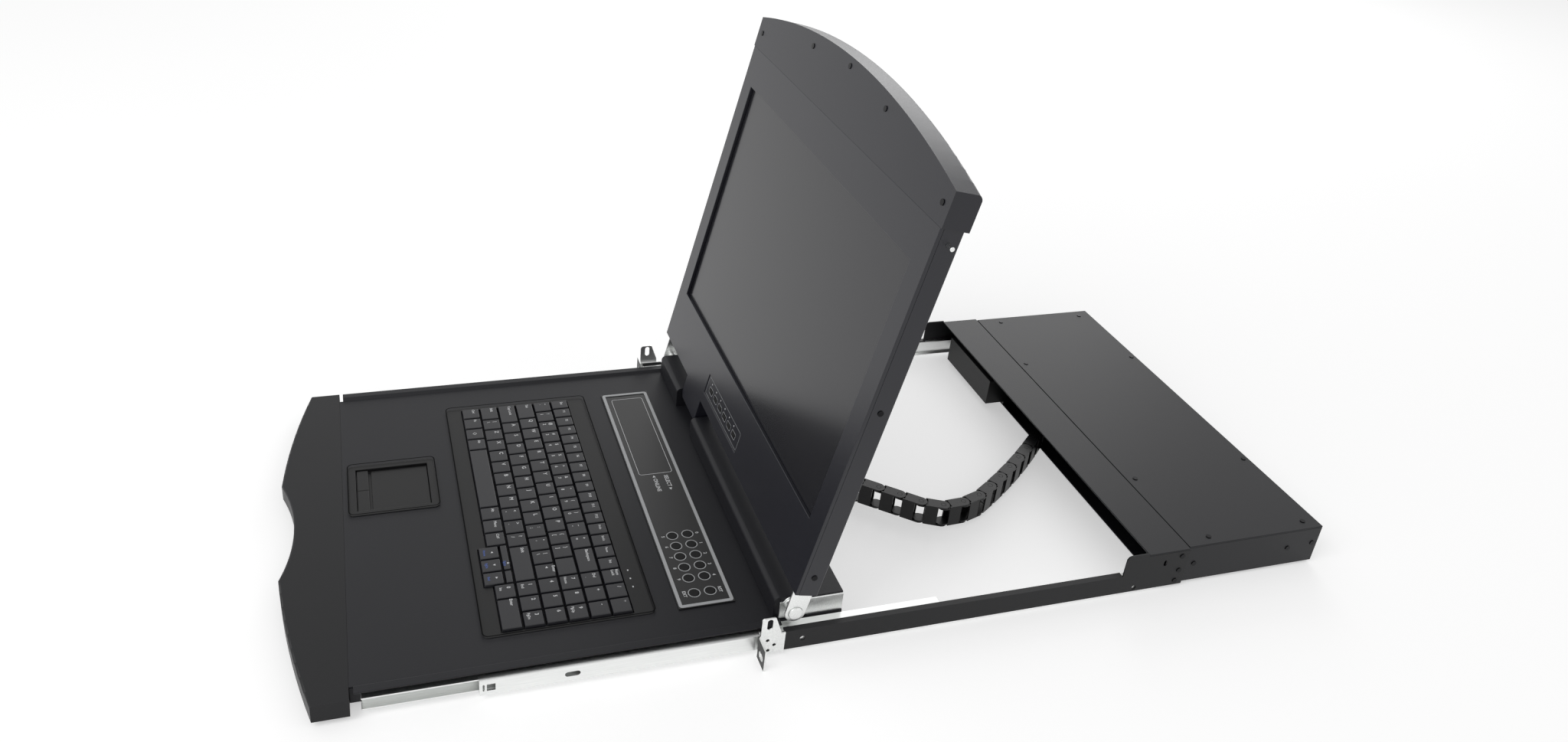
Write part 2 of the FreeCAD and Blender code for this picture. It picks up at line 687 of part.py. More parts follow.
riser = new_body("rear_housing")
pad(riser, "YZ", [Outline([
    (riser_front, tray_top), (tray_wall_rear, tray_top), (tray_wall_rear, riser_plate - metal),
    (tray_rear, riser_plate - metal), (tray_rear, riser_plate), (tray_wall_rear, riser_plate),
    (tray_wall_rear, riser_top), (riser_front, riser_top)])], -riser_half, riser_half)
inside_rear = tray_wall_rear - metal
round_edges(riser, riser_radius, lambda edge, middle: close(middle.y, riser_front)
            and close(middle.z, riser_top))
pocket(riser, "XY", [rectangle(gap_left, gap_right, riser_front, inside_rear)], tray_top, riser_top)
pocket(riser, "XY", [rectangle(gap_left, gap_right, inside_rear, tray_wall_rear)], riser_plate, riser_top)
for low, high in ((-riser_half, gap_left), (gap_right, riser_half)):
    pocket(riser, "XY", [rectangle(low + metal, high - metal, riser_front + metal, inside_rear)],
           tray_top, riser_top - riser_radius)

for word, side in SIDES.items():
    base = new_body(f"hinge_base_{word}")
    base_outer = riser_half + metal
    pad(base, "YZ", [rectangle(rim_rear, tray_rear, tray_top, bracket_top)],
        *span(side, riser_half, base_outer))
    pad(base, "YZ", [Round(hinge_y, hinge_z, knuckle)], *span(side, riser_half, base_outer))
    pad(base, "YZ", [Round(hinge_y, hinge_z, pin_radius)], *span(side, base_outer, pin_end))

# ---- Keyboard ----
block_units = 14.75
total_units = 17.75
arrow_units = 12.0
floor_top = key_top - key_height - key_travel - rest_gap
well = new_body("keyboard_frame")
pad(well, "XY", [rectangle(frame_left, frame_right, frame_front, frame_rear)], tray_top, tray_top + frame_lip)
well_left = key_left + key_gap / 2 - well_gap
well_right = key_left + key_pitch * total_units - key_gap / 2 + well_gap
well_rear = key_front + row_pitch * 6 - key_gap / 2 + well_gap
well_front = key_front + key_gap / 2 - well_gap
step_left = key_left + key_pitch * arrow_units + key_gap / 2 - well_gap
step_right = key_left + key_pitch * block_units + key_gap / 2 - well_gap
step_front = well_front - arrow_advance
tub = Outline([
    (well_left - metal, well_front - metal), (step_left - metal, well_front - metal),
    (step_left - metal, step_front - metal), (step_right + metal, step_front - metal),
    (step_right + metal, well_front - metal), (well_right + metal, well_front - metal),
    (well_right + metal, well_rear + metal), (well_left - metal, well_rear + metal)])
pad(well, "XY", [tub], floor_top - well_floor, tray_top)
pocket(well, "XY", [Outline([
    (well_left, well_front), (step_left, well_front), (step_left, step_front), (step_right, step_front),
    (step_right, well_front), (well_right, well_front), (well_right, well_rear), (well_left, well_rear)])],
    floor_top, tray_top + frame_lip)
round_edges(well, frame_round, lambda edge, middle: along(edge, Vector(0, 0, 1))
            and middle.z > tray_top.value and (close(middle.x, frame_left) or close(middle.x, frame_right)))


def key_caps(node, caps):
    """Build tapered key caps from their left end, right end, front and rear in key units."""
    solids = []
    for left, right, low, high in caps:
        cap = doc.addObject("Part::Wedge", f"{node}_cap")
        x_low = key_left + key_pitch * left + key_gap / 2
        x_high = key_left + key_pitch * right - key_gap / 2
        y_low = key_front + row_pitch * low + key_gap / 2
        y_high = key_front + row_pitch * high - key_gap / 2
        limits = {
            "Xmin": x_low, "Xmax": x_high, "X2min": x_low + key_slope, "X2max": x_high - key_slope,
            "Zmin": -y_high, "Zmax": -y_low, "Z2min": -y_high + key_slope, "Z2max": -y_low - key_slope,
            "Ymin": key_top - key_height, "Ymax": key_top}
        for limit, value in limits.items():
            setattr(cap, limit, value.value)
        for limit, value in limits.items():
            cap.setExpression(limit, value.text)
        cap.Placement = FreeCAD.Placement(Vector(), Rotation(Vector(1, 0, 0), 90))
        solids.append(cap)
    group = doc.addObject("Part::Compound", node)
    group.Links = solids
    place(group, node)


def key_row(low, high, ends):
    """A row of caps between the ends, in key units, that follow one another."""
    return [(left, right, low, high) for left, right in zip(ends, ends[1:])]


def stepped(start, widths):
    ends = [start]
    for width in widths:
        ends.append(ends[-1] + width)
    return ends


small_unit = block_units / 17
space_start = 4.0
space_end = 9.0
advance_rows = 0.42
key_caps("function_keys", key_row(5, 6, stepped(0.0, [small_unit] * 17)))
main_caps = key_row(0, 1, stepped(0.0, [1.0] * 4)) + key_row(0, 1, stepped(space_end, [1.0] * 3))
main_caps += key_row(1, 2, stepped(0.0, [1.25] + [1.0] * 11 + [2.5]))
main_caps += key_row(2, 3, stepped(0.0, [1.75] + [1.0] * 12))
main_caps += key_row(3, 4, stepped(0.0, [1.5] + [1.0] * 12))
main_caps += key_row(4, 5, stepped(0.0, [1.0] * 13 + [1.75]))
key_caps("main_keys", main_caps)
key_caps("space_bar", [(space_start, space_end, 0, 1)])
key_caps("enter_key", [(13.75, block_units, 2, 3), (13.5, block_units, 3, 4)])
arrow_width = (block_units - arrow_units) / 3
arrow_caps = key_row(-advance_rows, 1 - advance_rows, stepped(arrow_units, [arrow_width] * 3))
key_caps("arrow_keys", arrow_caps + key_row(
    1 - advance_rows, 1, [arrow_units, arrow_units + 2 * arrow_width, block_units]))
pad_caps = [cap for row in range(1, 6) for cap in key_row(row, row + 1, stepped(block_units, [1.0] * 3))]
pad_caps += key_row(0, 1, [block_units, block_units + 1, total_units])
key_caps("numpad_keys", pad_caps)

# ---- Touchpad ----
touch_floor = tray_top - pad_depth
touch_left = pad_left + pad_border
touch_right = pad_right - pad_border
touch_front = pad_front + pad_border
touch_rear = pad_rear - pad_border
touch = new_body("touchpad_frame")
pad(touch, "XY", [rectangle(pad_left, pad_right, pad_front, pad_rear)], tray_top, tray_top + pad_lip)
pad(touch, "XY", [rectangle(touch_left - metal, touch_right + metal, touch_front - metal, touch_rear + metal)],
    touch_floor - metal, tray_top)
pocket(touch, "XY", [rectangle(touch_left, touch_right, touch_front, touch_rear)],
       touch_floor, tray_top + pad_lip)
round_edges(touch, pad_round, lambda edge, middle: along(edge, Vector(0, 0, 1))
            and (close(middle.x, pad_left) or close(middle.x, pad_right)))
surface = new_body("touchpad_pad")
pad(surface, "XY", [rectangle(
    touch_left + pad_gap, touch_right - pad_gap, pad_plate_front, touch_rear - pad_gap)],
    touch_floor, tray_top - metal)
for word, (low, high) in {
        "left": (touch_left + button_gap, click_split - button_gap / 2),
        "right": (click_split + button_gap / 2, touch_right - button_gap)}.items():
    click = new_body(f"touchpad_button_{word}")
    pad(click, "XY", [rectangle(low, high, click_front, click_rear)],
        touch_floor + click_travel + rest_gap, tray_top - click_sink)

# ---- Hotkey panel ----
hot_columns = [hot_first + hot_pitch * number for number in range(5)] + [hot_last]
hotkeys = new_body("hotkey_panel")
panel_top = tray_top + panel_plate
pad(hotkeys, "XY", [rectangle(panel_left, panel_right, panel_front, panel_rear)],
    tray_top, panel_top + panel_raise)
pocket(hotkeys, "XY", [rectangle(
    panel_left + panel_border, panel_right - panel_border, panel_front + panel_border,
    panel_rear - panel_border)], panel_top, panel_top + panel_raise)
hole_radius = hot_radius + button_gap
pocket(hotkeys, "XY", [Round(x, y, hole_radius) for y in (hot_front, hot_rear) for x in hot_columns],
       tray_top, panel_top)
for word, row_y in {"front": hot_front, "rear": hot_rear}.items():
    row = new_body(f"hotkeys_{word}_row")
    pad(row, "XY", [Round(x, row_y, hot_radius) for x in hot_columns], top_under, panel_top + panel_raise)

# ---- Lid, built closed: Y is minus s, Z is minus t ----
back_shell = new_body("lid_back", on_lid=True)
bezel_back = lid_face - bezel_thick
pad(back_shell, "XY", [rectangle(-lid_half, lid_half, -lid_seam, -lid_start)], -bezel_back, lid_back)
pocket(back_shell, "XY", [rectangle(
    -lid_half + lid_wall, lid_half - lid_wall, -lid_seam + lid_wall, -lid_start - lid_wall)],
    -bezel_back, lid_back - lid_wall)
latch_s = hinge_y + travel - catch_y
pocket(back_shell, "YZ", [Round(-latch_s, 0, latch_radius + pin_fit)], lid_half - lid_wall, lid_half)
pocket(back_shell, "YZ", [Round(-latch_s, 0, latch_radius + pin_fit)], -lid_half, -lid_half + lid_wall)
round_edges(back_shell, lid_round, lambda edge, middle: along(edge, Vector(0, 1, 0))
            and close(abs(middle.x), lid_half) and close(middle.z, lid_back))

face = new_body("lid_bezel", on_lid=True)
pad(face, "XY", [rectangle(-lid_half, lid_half, -lid_seam, -lid_start)], -lid_face, -bezel_back)
pad(face, "XY", [Outline([
    (tongue_left, -lid_start), (tongue_left, -tongue_chamfer), (tongue_left + tongue_chamfer, 0),
    (tongue_right - tongue_chamfer, 0), (tongue_right, -tongue_chamfer), (tongue_right, -lid_start)])],
    -lid_face, tongue_back)
pocket(face, "XY", [rectangle(-screen_half, screen_half, -screen_end, -screen_start)],
       -lid_face, -bezel_back)
pocket(face, "XY", [rectangle(osd_left, osd_right, -osd_end, -osd_start)], -lid_face, -lid_face + osd_depth)
osd_columns = [osd_first + osd_pitch * number for number in range(6)]


def osd_windows(grow):
    return [rectangle(x - osd_long / 2 - grow, x + osd_long / 2 + grow,
                      -osd_row - osd_wide / 2 - grow, -osd_row + osd_wide / 2 + grow) for x in osd_columns]


pocket(face, "XY", osd_windows(button_gap), -lid_face + osd_depth, -bezel_back)

osd = new_body("osd_buttons", on_lid=True)
osd_front = -lid_face + osd_depth - osd_rise
pad(osd, "XY", osd_windows(Size.of(0.0)), osd_front, osd_front + osd_height)

panel = new_body("lcd_panel", on_lid=True)
pad(panel, "XY", [rectangle(
    -screen_half - panel_margin, screen_half + panel_margin,
    -screen_end - panel_margin, -screen_start + panel_margin)], -bezel_back, -bezel_back + panel_thick)

cover = new_body("lid_cover", on_lid=True)
crown_radius = sagitta_radius(cover_half, cover_crown)
pad(cover, "XY", [Outline([
    (cover_half, -lid_seam), (-cover_half, -lid_seam), (-cover_half, -cover_end),
    (cover_half, -cover_end)], {2: crown_radius})], -lid_face, cover_back)
cover_inside = cover_half - cover_wall
pocket(cover, "XY", [Outline([
    (cover_inside, -lid_seam), (-cover_inside, -lid_seam), (-cover_inside, -cover_end),
    (cover_inside, -cover_end)])], -lid_face + cover_wall, cover_back - cover_wall)
round_edges(cover, cover_round, lambda edge, middle: close(middle.z, cover_back)
            and middle.y < -cover_end.value - 1)

for word, side in SIDES.items():
    leaf = new_body(f"hinge_leaf_{word}", on_lid=True)
    leaf_outer = leaf_inner + leaf_thick
    pad(leaf, "YZ", [Round(0, 0, leaf_radius)], *span(side, leaf_inner, leaf_outer))
    pad(leaf, "YZ", [rectangle(-lid_start, 0, -leaf_radius, leaf_radius)],
        *span(side, leaf_inner, leaf_outer))
    pad(leaf, "XY", [side_box(side, leaf_inner - leaf_radius, leaf_inner, -lid_start, -lid_start + leaf_thick)],
        -leaf_radius, leaf_radius)
    pocket(leaf, "YZ", [Round(0, 0, pin_radius + pin_fit)], *span(side, leaf_inner, leaf_outer))

    latch = new_body(f"latch_pin_{word}", on_lid=True)
    pad(latch, "YZ", [Round(-latch_s, 0, latch_radius)], *span(side, latch_tip - latch_length, latch_tip))

lid_screws = new_body("lid_screws", on_lid=True)
pad(lid_screws, "XY", [Round(side * x, -s, screw_radius) for x, s in cover_edge_screws for side in (-1, 1)] + [
    Round(0, -cover_top_screw, screw_radius)], -lid_face - screw_head, -lid_face)
for word, side in SIDES.items():
    pad(lid_screws, "YZ", [Round(-s, 0, screw_radius) for s in lid_side_screws],
        *span(side, lid_half, lid_half + screw_head))

# ---- Cable chain ----
# Each link has outer plates at its tail, inner plates at its head, two crossbars between them and
# studs on the inner plates that turn in the holes of the next link.
link = doc.addObject("PartDesign::Body", "chain_link")


def both_ends(half_thick, level):
    """The lower and upper stretch of one pair of plates."""
    return ((chain_low + level, chain_low + level + half_thick), (chain_top - level - half_thick, chain_top - level))


tail_plate = [Round(0, 0, chain_half)]
for start, stop in both_ends(chain_plate, Size.of(0.0)):
    pad(link, "XY", [rectangle(0, plate_end, -chain_half, chain_half)], start, stop)
    pad(link, "XY", tail_plate, start, stop)
pad(link, "XY", [rectangle(bar_start, bar_end, -chain_half, -chain_half + chain_bar)], chain_low, chain_top)
pad(link, "XY", [rectangle(bar_start, bar_end, chain_half - chain_bar, chain_half)], chain_low, chain_top)
inner_level = chain_plate + plate_gap
for start, stop in both_ends(chain_plate, inner_level):
    pad(link, "XY", [rectangle(plate_start, chain_pitch, -chain_half, chain_half)], start, stop)
    pad(link, "XY", [Round(chain_pitch, 0, chain_half)], start, stop)
for start, stop in both_ends(inner_level, Size.of(0.0)):
    pad(link, "XY", [Round(chain_pitch, 0, stud_radius)], start, stop)
    pocket(link, "XY", [Round(0, 0, stud_radius + slide_gap)], start, stop)

# bends from the case to the tray: at the anchor, along the gentle run, round the turn, at the tray
run_count = int(run_links.value)
turn_bends = [turn_start.value, turn_start.value, turn_middle.value, turn_start.value]
bends = [anchor_bend.value] + [run_bend.value] * (run_count - 1) + turn_bends
bends += [0.0] * (int(straight_links.value) - 1)
bends.append(180 - sum(bends))
moving_joints = [0, int(first_turn.value), int(second_turn.value), run_count, run_count + 1, run_count + 2, run_count + 3, len(bends) - 1]
doc.recompute()


def chain_points():
    """Start point and heading of every link, and the point where the last one ends."""
    x, y, heading = anchor_x.value, anchor_y.value, 0.0
    starts = []
    for bend in bends:
        heading -= bend
        starts.append((x, y, heading))
        x += chain_pitch.value * math.cos(math.radians(heading))
        y += chain_pitch.value * math.sin(math.radians(heading))
    return starts, (x, y)


starts, chain_end = chain_points()
for number, first in enumerate(moving_joints, start=1):
    last = moving_joints[number] if number < len(moving_joints) else len(bends)
    origin = FreeCAD.Placement(Vector(starts[first][0], starts[first][1], 0),
                               Rotation(Vector(0, 0, 1), starts[first][2]))
    solids = []
    for x, y, heading in starts[first:last]:
        here = FreeCAD.Placement(Vector(x, y, 0), Rotation(Vector(0, 0, 1), heading))
        solid = link.Shape.copy()
        solid.Placement = origin.inverse().multiply(here)
        solids.append(solid)
    run = doc.addObject("Part::Feature", f"chain_run_{number}")
    run.Shape = Part.makeCompound(solids)
    origin.Base.z = -slot_height.value
    run.Placement = origin
    run.Label = f"chain_run_{number}"
    nodes.append(run)

fixed_end = new_body("chain_fixed_end")
anchor_inner = chain_top - inner_level
pad(fixed_end, "XY", [rectangle(anchor_x - chain_pitch, anchor_x, anchor_y - chain_half, anchor_y + chain_half)],
    chain_low + inner_level, anchor_inner)
pad(fixed_end, "XY", [Round(anchor_x, anchor_y, chain_half)], chain_low + inner_level, anchor_inner)
pad(fixed_end, "XY", [rectangle(
    anchor_x - chain_pitch, anchor_x - plate_start, anchor_y - chain_half, anchor_y + chain_half)],
    metal, chain_low + inner_level)

tray_end = new_body("chain_tray_end")
mount_right = Size.of(chain_end[0]) - chain_half - end_gap
pad(tray_end, "XY", [rectangle(
    mount_right - chain_pitch, mount_right, tray_wall_rear, Size.of(chain_end[1]) + chain_half)],
    shelf_top, shelf_top + metal)
pad(tray_end, "XY", [rectangle(
    mount_right - chain_pitch, mount_right, Size.of(chain_end[1]) - chain_half, Size.of(chain_end[1]) + chain_half)],
    shelf_top + metal, chain_top)

doc.recompute()
for item in doc.Objects:
    if "Invalid" in item.State or "Error" in item.State:
        raise RuntimeError(f"{item.Label}: {item.State}")
for feature, base in cuts:
    if feature.Shape.Volume >= base.Shape.Volume:
        raise RuntimeError(f"{feature.Label} cuts nothing")
for part in nodes:
    if part.Shape.isNull() or not part.Shape.isValid():
        raise RuntimeError(f"{part.Label}: shape is not valid")
for part in nodes:
    part.Shape.exportStep(os.path.join("parts", f"{part.Label}.step"))
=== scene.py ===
import json
import math
import bmesh
import bpy
from bpy.props import FloatProperty, FloatVectorProperty, PointerProperty
from mathutils import Matrix, Vector

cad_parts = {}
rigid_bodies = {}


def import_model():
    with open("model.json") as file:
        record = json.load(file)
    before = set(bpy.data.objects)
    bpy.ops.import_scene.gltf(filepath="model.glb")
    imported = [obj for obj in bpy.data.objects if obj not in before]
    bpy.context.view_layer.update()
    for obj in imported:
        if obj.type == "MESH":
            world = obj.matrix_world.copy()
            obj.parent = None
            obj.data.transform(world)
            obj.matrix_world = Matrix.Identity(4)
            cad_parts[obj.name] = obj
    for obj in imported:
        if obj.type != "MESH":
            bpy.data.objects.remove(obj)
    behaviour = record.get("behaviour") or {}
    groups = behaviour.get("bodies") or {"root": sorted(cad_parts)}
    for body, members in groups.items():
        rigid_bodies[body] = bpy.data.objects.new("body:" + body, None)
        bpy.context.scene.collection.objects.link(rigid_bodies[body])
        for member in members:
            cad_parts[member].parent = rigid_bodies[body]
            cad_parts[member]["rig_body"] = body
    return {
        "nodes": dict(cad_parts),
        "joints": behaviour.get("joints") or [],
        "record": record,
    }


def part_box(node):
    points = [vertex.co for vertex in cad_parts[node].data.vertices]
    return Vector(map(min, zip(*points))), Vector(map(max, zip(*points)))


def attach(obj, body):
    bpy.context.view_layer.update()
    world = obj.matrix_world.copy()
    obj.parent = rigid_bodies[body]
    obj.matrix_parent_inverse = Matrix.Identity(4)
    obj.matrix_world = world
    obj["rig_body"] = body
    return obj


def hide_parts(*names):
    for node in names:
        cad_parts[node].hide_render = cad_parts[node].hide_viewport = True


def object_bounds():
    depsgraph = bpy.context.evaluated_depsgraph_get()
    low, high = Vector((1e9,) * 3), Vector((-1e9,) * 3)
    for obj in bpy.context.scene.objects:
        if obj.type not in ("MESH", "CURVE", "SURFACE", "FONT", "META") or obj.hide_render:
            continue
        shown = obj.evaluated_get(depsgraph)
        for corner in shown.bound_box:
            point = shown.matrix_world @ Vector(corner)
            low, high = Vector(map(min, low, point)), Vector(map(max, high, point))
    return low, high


bl_info = {
    "name": "Rack Console Drawer",
    "version": (1, 0, 0),
    "blender": (4, 5, 0),
    "location": "View3D > Sidebar > Console",
    "description": "Dresses a rackmount screen and keyboard drawer and sets its studio",
    "category": "Object",
}

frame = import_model()
CAD_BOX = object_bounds()
NODE_SLOTS = {part["node"]: part["material_slot"] for part in frame["record"]["subparts"]}


def joint_named(name):
    return [joint for joint in frame["joints"] if joint["name"] == name][0]


HINGE = joint_named("lid_hinge")


# ---- Settings ----

def colour(name, description, value):
    return FloatVectorProperty(name=name, description=description, default=value, subtype="COLOR",
                               size=3, min=0.0, max=1.0)


def length(name, description, value):
    return FloatProperty(name=name, description=description, default=value, unit="LENGTH", precision=5)


def power(name, description, value):
    return FloatProperty(name=name, description=description, default=value, unit="POWER")


def share(name, description, value):
    return FloatProperty(name=name, description=description, default=value, min=0.0, max=1.0)


class ConsoleFinishes(bpy.types.PropertyGroup):
    """Colours of the console's surfaces."""

    tray_paint: colour("Tray paint", "Powder coat of the tray", (0.0112, 0.0114, 0.0142))
    lid_paint: colour("Lid paint", "Paint of the screen housing", (0.0120, 0.0123, 0.0185))
    case_paint: colour("Case paint", "Paint of the switch case", (0.0078, 0.0080, 0.0102))
    rail_paint: colour("Rail paint", "Powder coat of the rails", (0.0060, 0.0061, 0.0072))
    bezel_plastic: colour("Bezel plastic", "Front bezel moulding", (0.0070, 0.0071, 0.0084))
    key_plastic: colour("Key plastic", "Key caps", (0.0095, 0.0097, 0.0130))
    frame_plastic: colour("Frame plastic", "Keyboard and touchpad frames", (0.0068, 0.0068, 0.0072))
    chain_nylon: colour("Chain nylon", "Cable chain links", (0.0055, 0.0055, 0.0060))
    rubber: colour("Rubber", "Silicone buttons", (0.0032, 0.0032, 0.0034))
    screen: colour("Screen", "Face of the switched-off screen", (0.0160, 0.0160, 0.0200))
    # Painted shade: colour of the dark line that stands for the shade in the gap round an inset frame
    gap: colour("Gap", "Dark line of the gap round an inset frame", (0.0012, 0.0012, 0.0013))
    zinc: colour("Zinc plate", "Slides, ears and hinges", (0.83, 0.84, 0.83))
    silver_trim: colour("Silver trim", "Border line of the hotkey panel", (0.50, 0.51, 0.52))
    legend: colour("Legends", "Printed key legends", (0.80, 0.81, 0.82))
    legend_blue: colour("Blue legends", "Legends of the second layer", (0.10, 0.17, 0.50))


class ConsoleSizes(bpy.types.PropertyGroup):
    """Sizes of what is laid on the console's parts."""

    soft_edge: length("Soft edge", "Radius broken onto folded and moulded edges", 0.0005)
    key_edge: length("Key edge", "Radius broken onto the key caps", 0.0006)
    key_gap: length("Key gap", "Gap between two key caps", 0.0007)
    # Frame gap, frame corner and frame overlap shape the painted shade line round the frames
    frame_gap: length("Frame gap", "Width of the gap round the keyboard and touchpad frames", 0.0009)
    print_rise: length("Print rise", "Height of printed ink above its surface", 0.00004)
    letter: length("Letter", "Height of a key's main letter", 0.0050)
    small_letter: length("Small letter", "Height of a key's small words", 0.0028)
    panel_letter: length("Panel letter", "Height of the hotkey panel's words", 0.0042)
    border_line: length("Border line", "Width of the silver border line", 0.0032)
    frame_corner: length("Frame corner", "Corner radius of the dark line round a frame", 0.0055)
    frame_overlap: length("Frame overlap", "How far the dark line reaches under its frame", 0.0002)
    flange_height: length("Flange height", "Height of the screw flange of an ear", 0.022)


class ConsolePanel(bpy.types.PropertyGroup):
    """Places of the marks on the hotkey panel, from its edges, and of the lock lamps."""

    rim: length("Rim", "Bare rim outside the border line", 0.0009)
    corner: length("Corner", "Corner radius of the border and window lines", 0.003)
    plate_depth: length("Plate depth", "How far the plate lies below the rim", 0.0006)
    pitch: length("Pitch", "From one button of a row to the next", 0.0149)
    ring_gap: length("Ring gap", "How far a ring reaches out from its button", 0.0012)
    ring_line: length("Ring line", "Width of a ring", 0.0009)
    word_gap: length("Word gap", "From the edge of a button to the middle of its word", 0.0045)
    pointer: length("Pointer", "Size of the pointers beside the words", 0.0034)
    select_left: length("Select left", "Start of the first word, from the left", 0.1540)
    select_pointer: length("Select pointer", "Pointer of the first word, from the left", 0.1765)
    select_rear: length("Select rear", "Line of the first word, from the rear", 0.0165)
    online_left: length("Online left", "Start of the second word, from the left", 0.1580)
    online_pointer: length("Online pointer", "Pointer of the second word, from the left", 0.1545)
    online_front: length("Online front", "Line of the second word, from the front", 0.0235)
    window_left: length("Window left", "Left end of the window line", 0.011)
    window_right: length("Window right", "Right end of the window line, from the left", 0.150)
    window_front: length("Window front", "Front of the window line", 0.0093)
    window_rear: length("Window rear", "Rear of the window line, from the rear", 0.0080)
    window_line: length("Window line", "Width of the window line", 0.0005)
    lamp_right: length("Lamp right", "First lock lamp, from the middle of the tray", 0.118)
    lamp_front: length("Lamp front", "Line of the lock lamps, behind the ears", -0.0915)
    lamp_pitch: length("Lamp pitch", "From one lock lamp to the next", 0.011)
    lamp_long: length("Lamp long", "Length of a lock lamp", 0.0018)
    lamp_wide: length("Lamp wide", "Width of a lock lamp", 0.0012)


class ConsoleScreen(bpy.types.PropertyGroup):
    """Places of the marks on the lid's face, across from its middle and up from the hinge."""

    face: length("Face", "Height of the lid's face over the hinge's axis", 0.0117)
    recess: length("Recess", "Depth of the recess of the controls", 0.001)
    corner: length("Corner", "Corner radius of the lines", 0.002)
    frame_left: length("Frame left", "Left end of the line round the controls", -0.0745)
    frame_right: length("Frame right", "Right end of the line round the controls", 0.032)
    frame_low: length("Frame low", "Low side of the line round the controls", 0.0395)
    frame_high: length("Frame high", "High side of the line round the controls", 0.059)
    frame_line: length("Frame line", "Width of the line round the controls", 0.0004)
    button_first: length("First button", "Middle of the first button", -0.0616)
    button_pitch: length("Button pitch", "From one button to the next", 0.0157)
    button_half: length("Button half", "Half the width of a button", 0.0058)
    button_low: length("Button low", "Low side of the buttons", 0.0445)
    button_high: length("Button high", "High side of the buttons", 0.0515)
    button_line: length("Button line", "Width of the line round a button", 0.0005)
    lamp_first: length("First lamp", "Middle of the first lamp", -0.0636)
    lamp_pitch: length("Lamp pitch", "From one lamp to the next", 0.0152)
    lamp_height: length("Lamp height", "Line of the lamps", 0.0553)
    lamp_radius: length("Lamp radius", "Radius of a lamp", 0.0009)
    lamp_line: length("Lamp line", "How far a lamp is filled from its edge", 0.00085)


class ConsoleStage(bpy.types.PropertyGroup):
    """Floor, lights and camera."""

    floor_size: length("Floor size", "Side of the floor", 14.0)
    floor_gap: length("Floor gap", "Height of the lowest part above the floor", 0.0002)
    key_power: power("Key light", "Power of the large lamp", 12.0)
    fill_power: power("Fill light", "Power of the fill lamp", 22.0)
    world_level: share("World level", "Strength of the plain surroundings", 0.46)
    floor_shade: share("Floor shade", "Grey of the floor", 0.86)
    floor_lift: share("Floor lift", "Light added to the floor for the rays that look at it", 0.46)
    eye: FloatVectorProperty(name="Camera place", description="Where the camera stands", size=3,
                             subtype="XYZ", default=(0.932305, -0.301897, 0.755897))
    aim: FloatVectorProperty(name="Camera aim", description="Direction the camera looks along", size=3,
                             subtype="XYZ", default=(-0.83394107, 0.29361291, -0.46726197))
    lens: FloatProperty(name="Lens", description="Focal length", default=27.475, unit="CAMERA")
    roll: FloatProperty(name="Roll", description="Turn of the camera about its aim", default=0.0906,
                        unit="ROTATION")
    shift_x: FloatProperty(name="Shift across", description="Lens shift, in picture widths", default=0.03259)
    shift_y: FloatProperty(name="Shift up", description="Lens shift, in picture widths", default=-0.05339)


# ---- Shared effects ----

def new_group(name, inputs, outputs):
    """A shader node group with named value sockets."""
    group = bpy.data.node_groups.new(name, "ShaderNodeTree")
    for label, value in inputs:
        socket = group.interface.new_socket(name=label, in_out="INPUT", socket_type="NodeSocketFloat")
        socket.default_value = value
    for label in outputs:
        group.interface.new_socket(name=label, in_out="OUTPUT", socket_type="NodeSocketFloat")
    return group, group.nodes.new("NodeGroupInput"), group.nodes.new("NodeGroupOutput")


def math_node(tree, operation, first, second=None, third=None):
    node = tree.nodes.new("ShaderNodeMath")
    node.operation = operation
    for index, value in enumerate((first, second, third)):
        if value is None:
            continue
        if isinstance(value, (int, float)):
            node.inputs[index].default_value = value
        else:
            tree.links.new(value, node.inputs[index])
    return node.outputs[0]


SPECK_SHARE = 0.35
BUMP_DEPTH = 0.0002


def grain_group():
    """Fine grain of powder coat or moulded plastic, with a slow drift in shade."""
    group, given, result = new_group(
        "Surface Grain",
        [("Grain Size", 0.0008), ("Drift Size", 0.09), ("Drift", 0.25)], ["Height", "Shade"])
    place = group.nodes.new("ShaderNodeTexCoord")
    fine = group.nodes.new("ShaderNodeTexNoise")
    fine.inputs["Detail"].default_value = 2.0
    slow = group.nodes.new("ShaderNodeTexNoise")
    slow.inputs["Detail"].default_value = 3.0
    for noise, label in ((fine, "Grain Size"), (slow, "Drift Size")):
        group.links.new(place.outputs["Object"], noise.inputs["Vector"])
        group.links.new(math_node(group, "DIVIDE", 1.0, given.outputs[label]), noise.inputs["Scale"])
    centred = math_node(group, "SUBTRACT", slow.outputs["Fac"], 0.5)
    drift = math_node(group, "MULTIPLY", centred, given.outputs["Drift"])
    speck = math_node(group, "SUBTRACT", fine.outputs["Fac"], 0.5)
    speck = math_node(group, "MULTIPLY", speck, SPECK_SHARE)
    total = math_node(group, "ADD", drift, speck)
    group.links.new(math_node(group, "ADD", total, 1.0), result.inputs["Shade"])
    group.links.new(fine.outputs["Fac"], result.inputs["Height"])
    return group


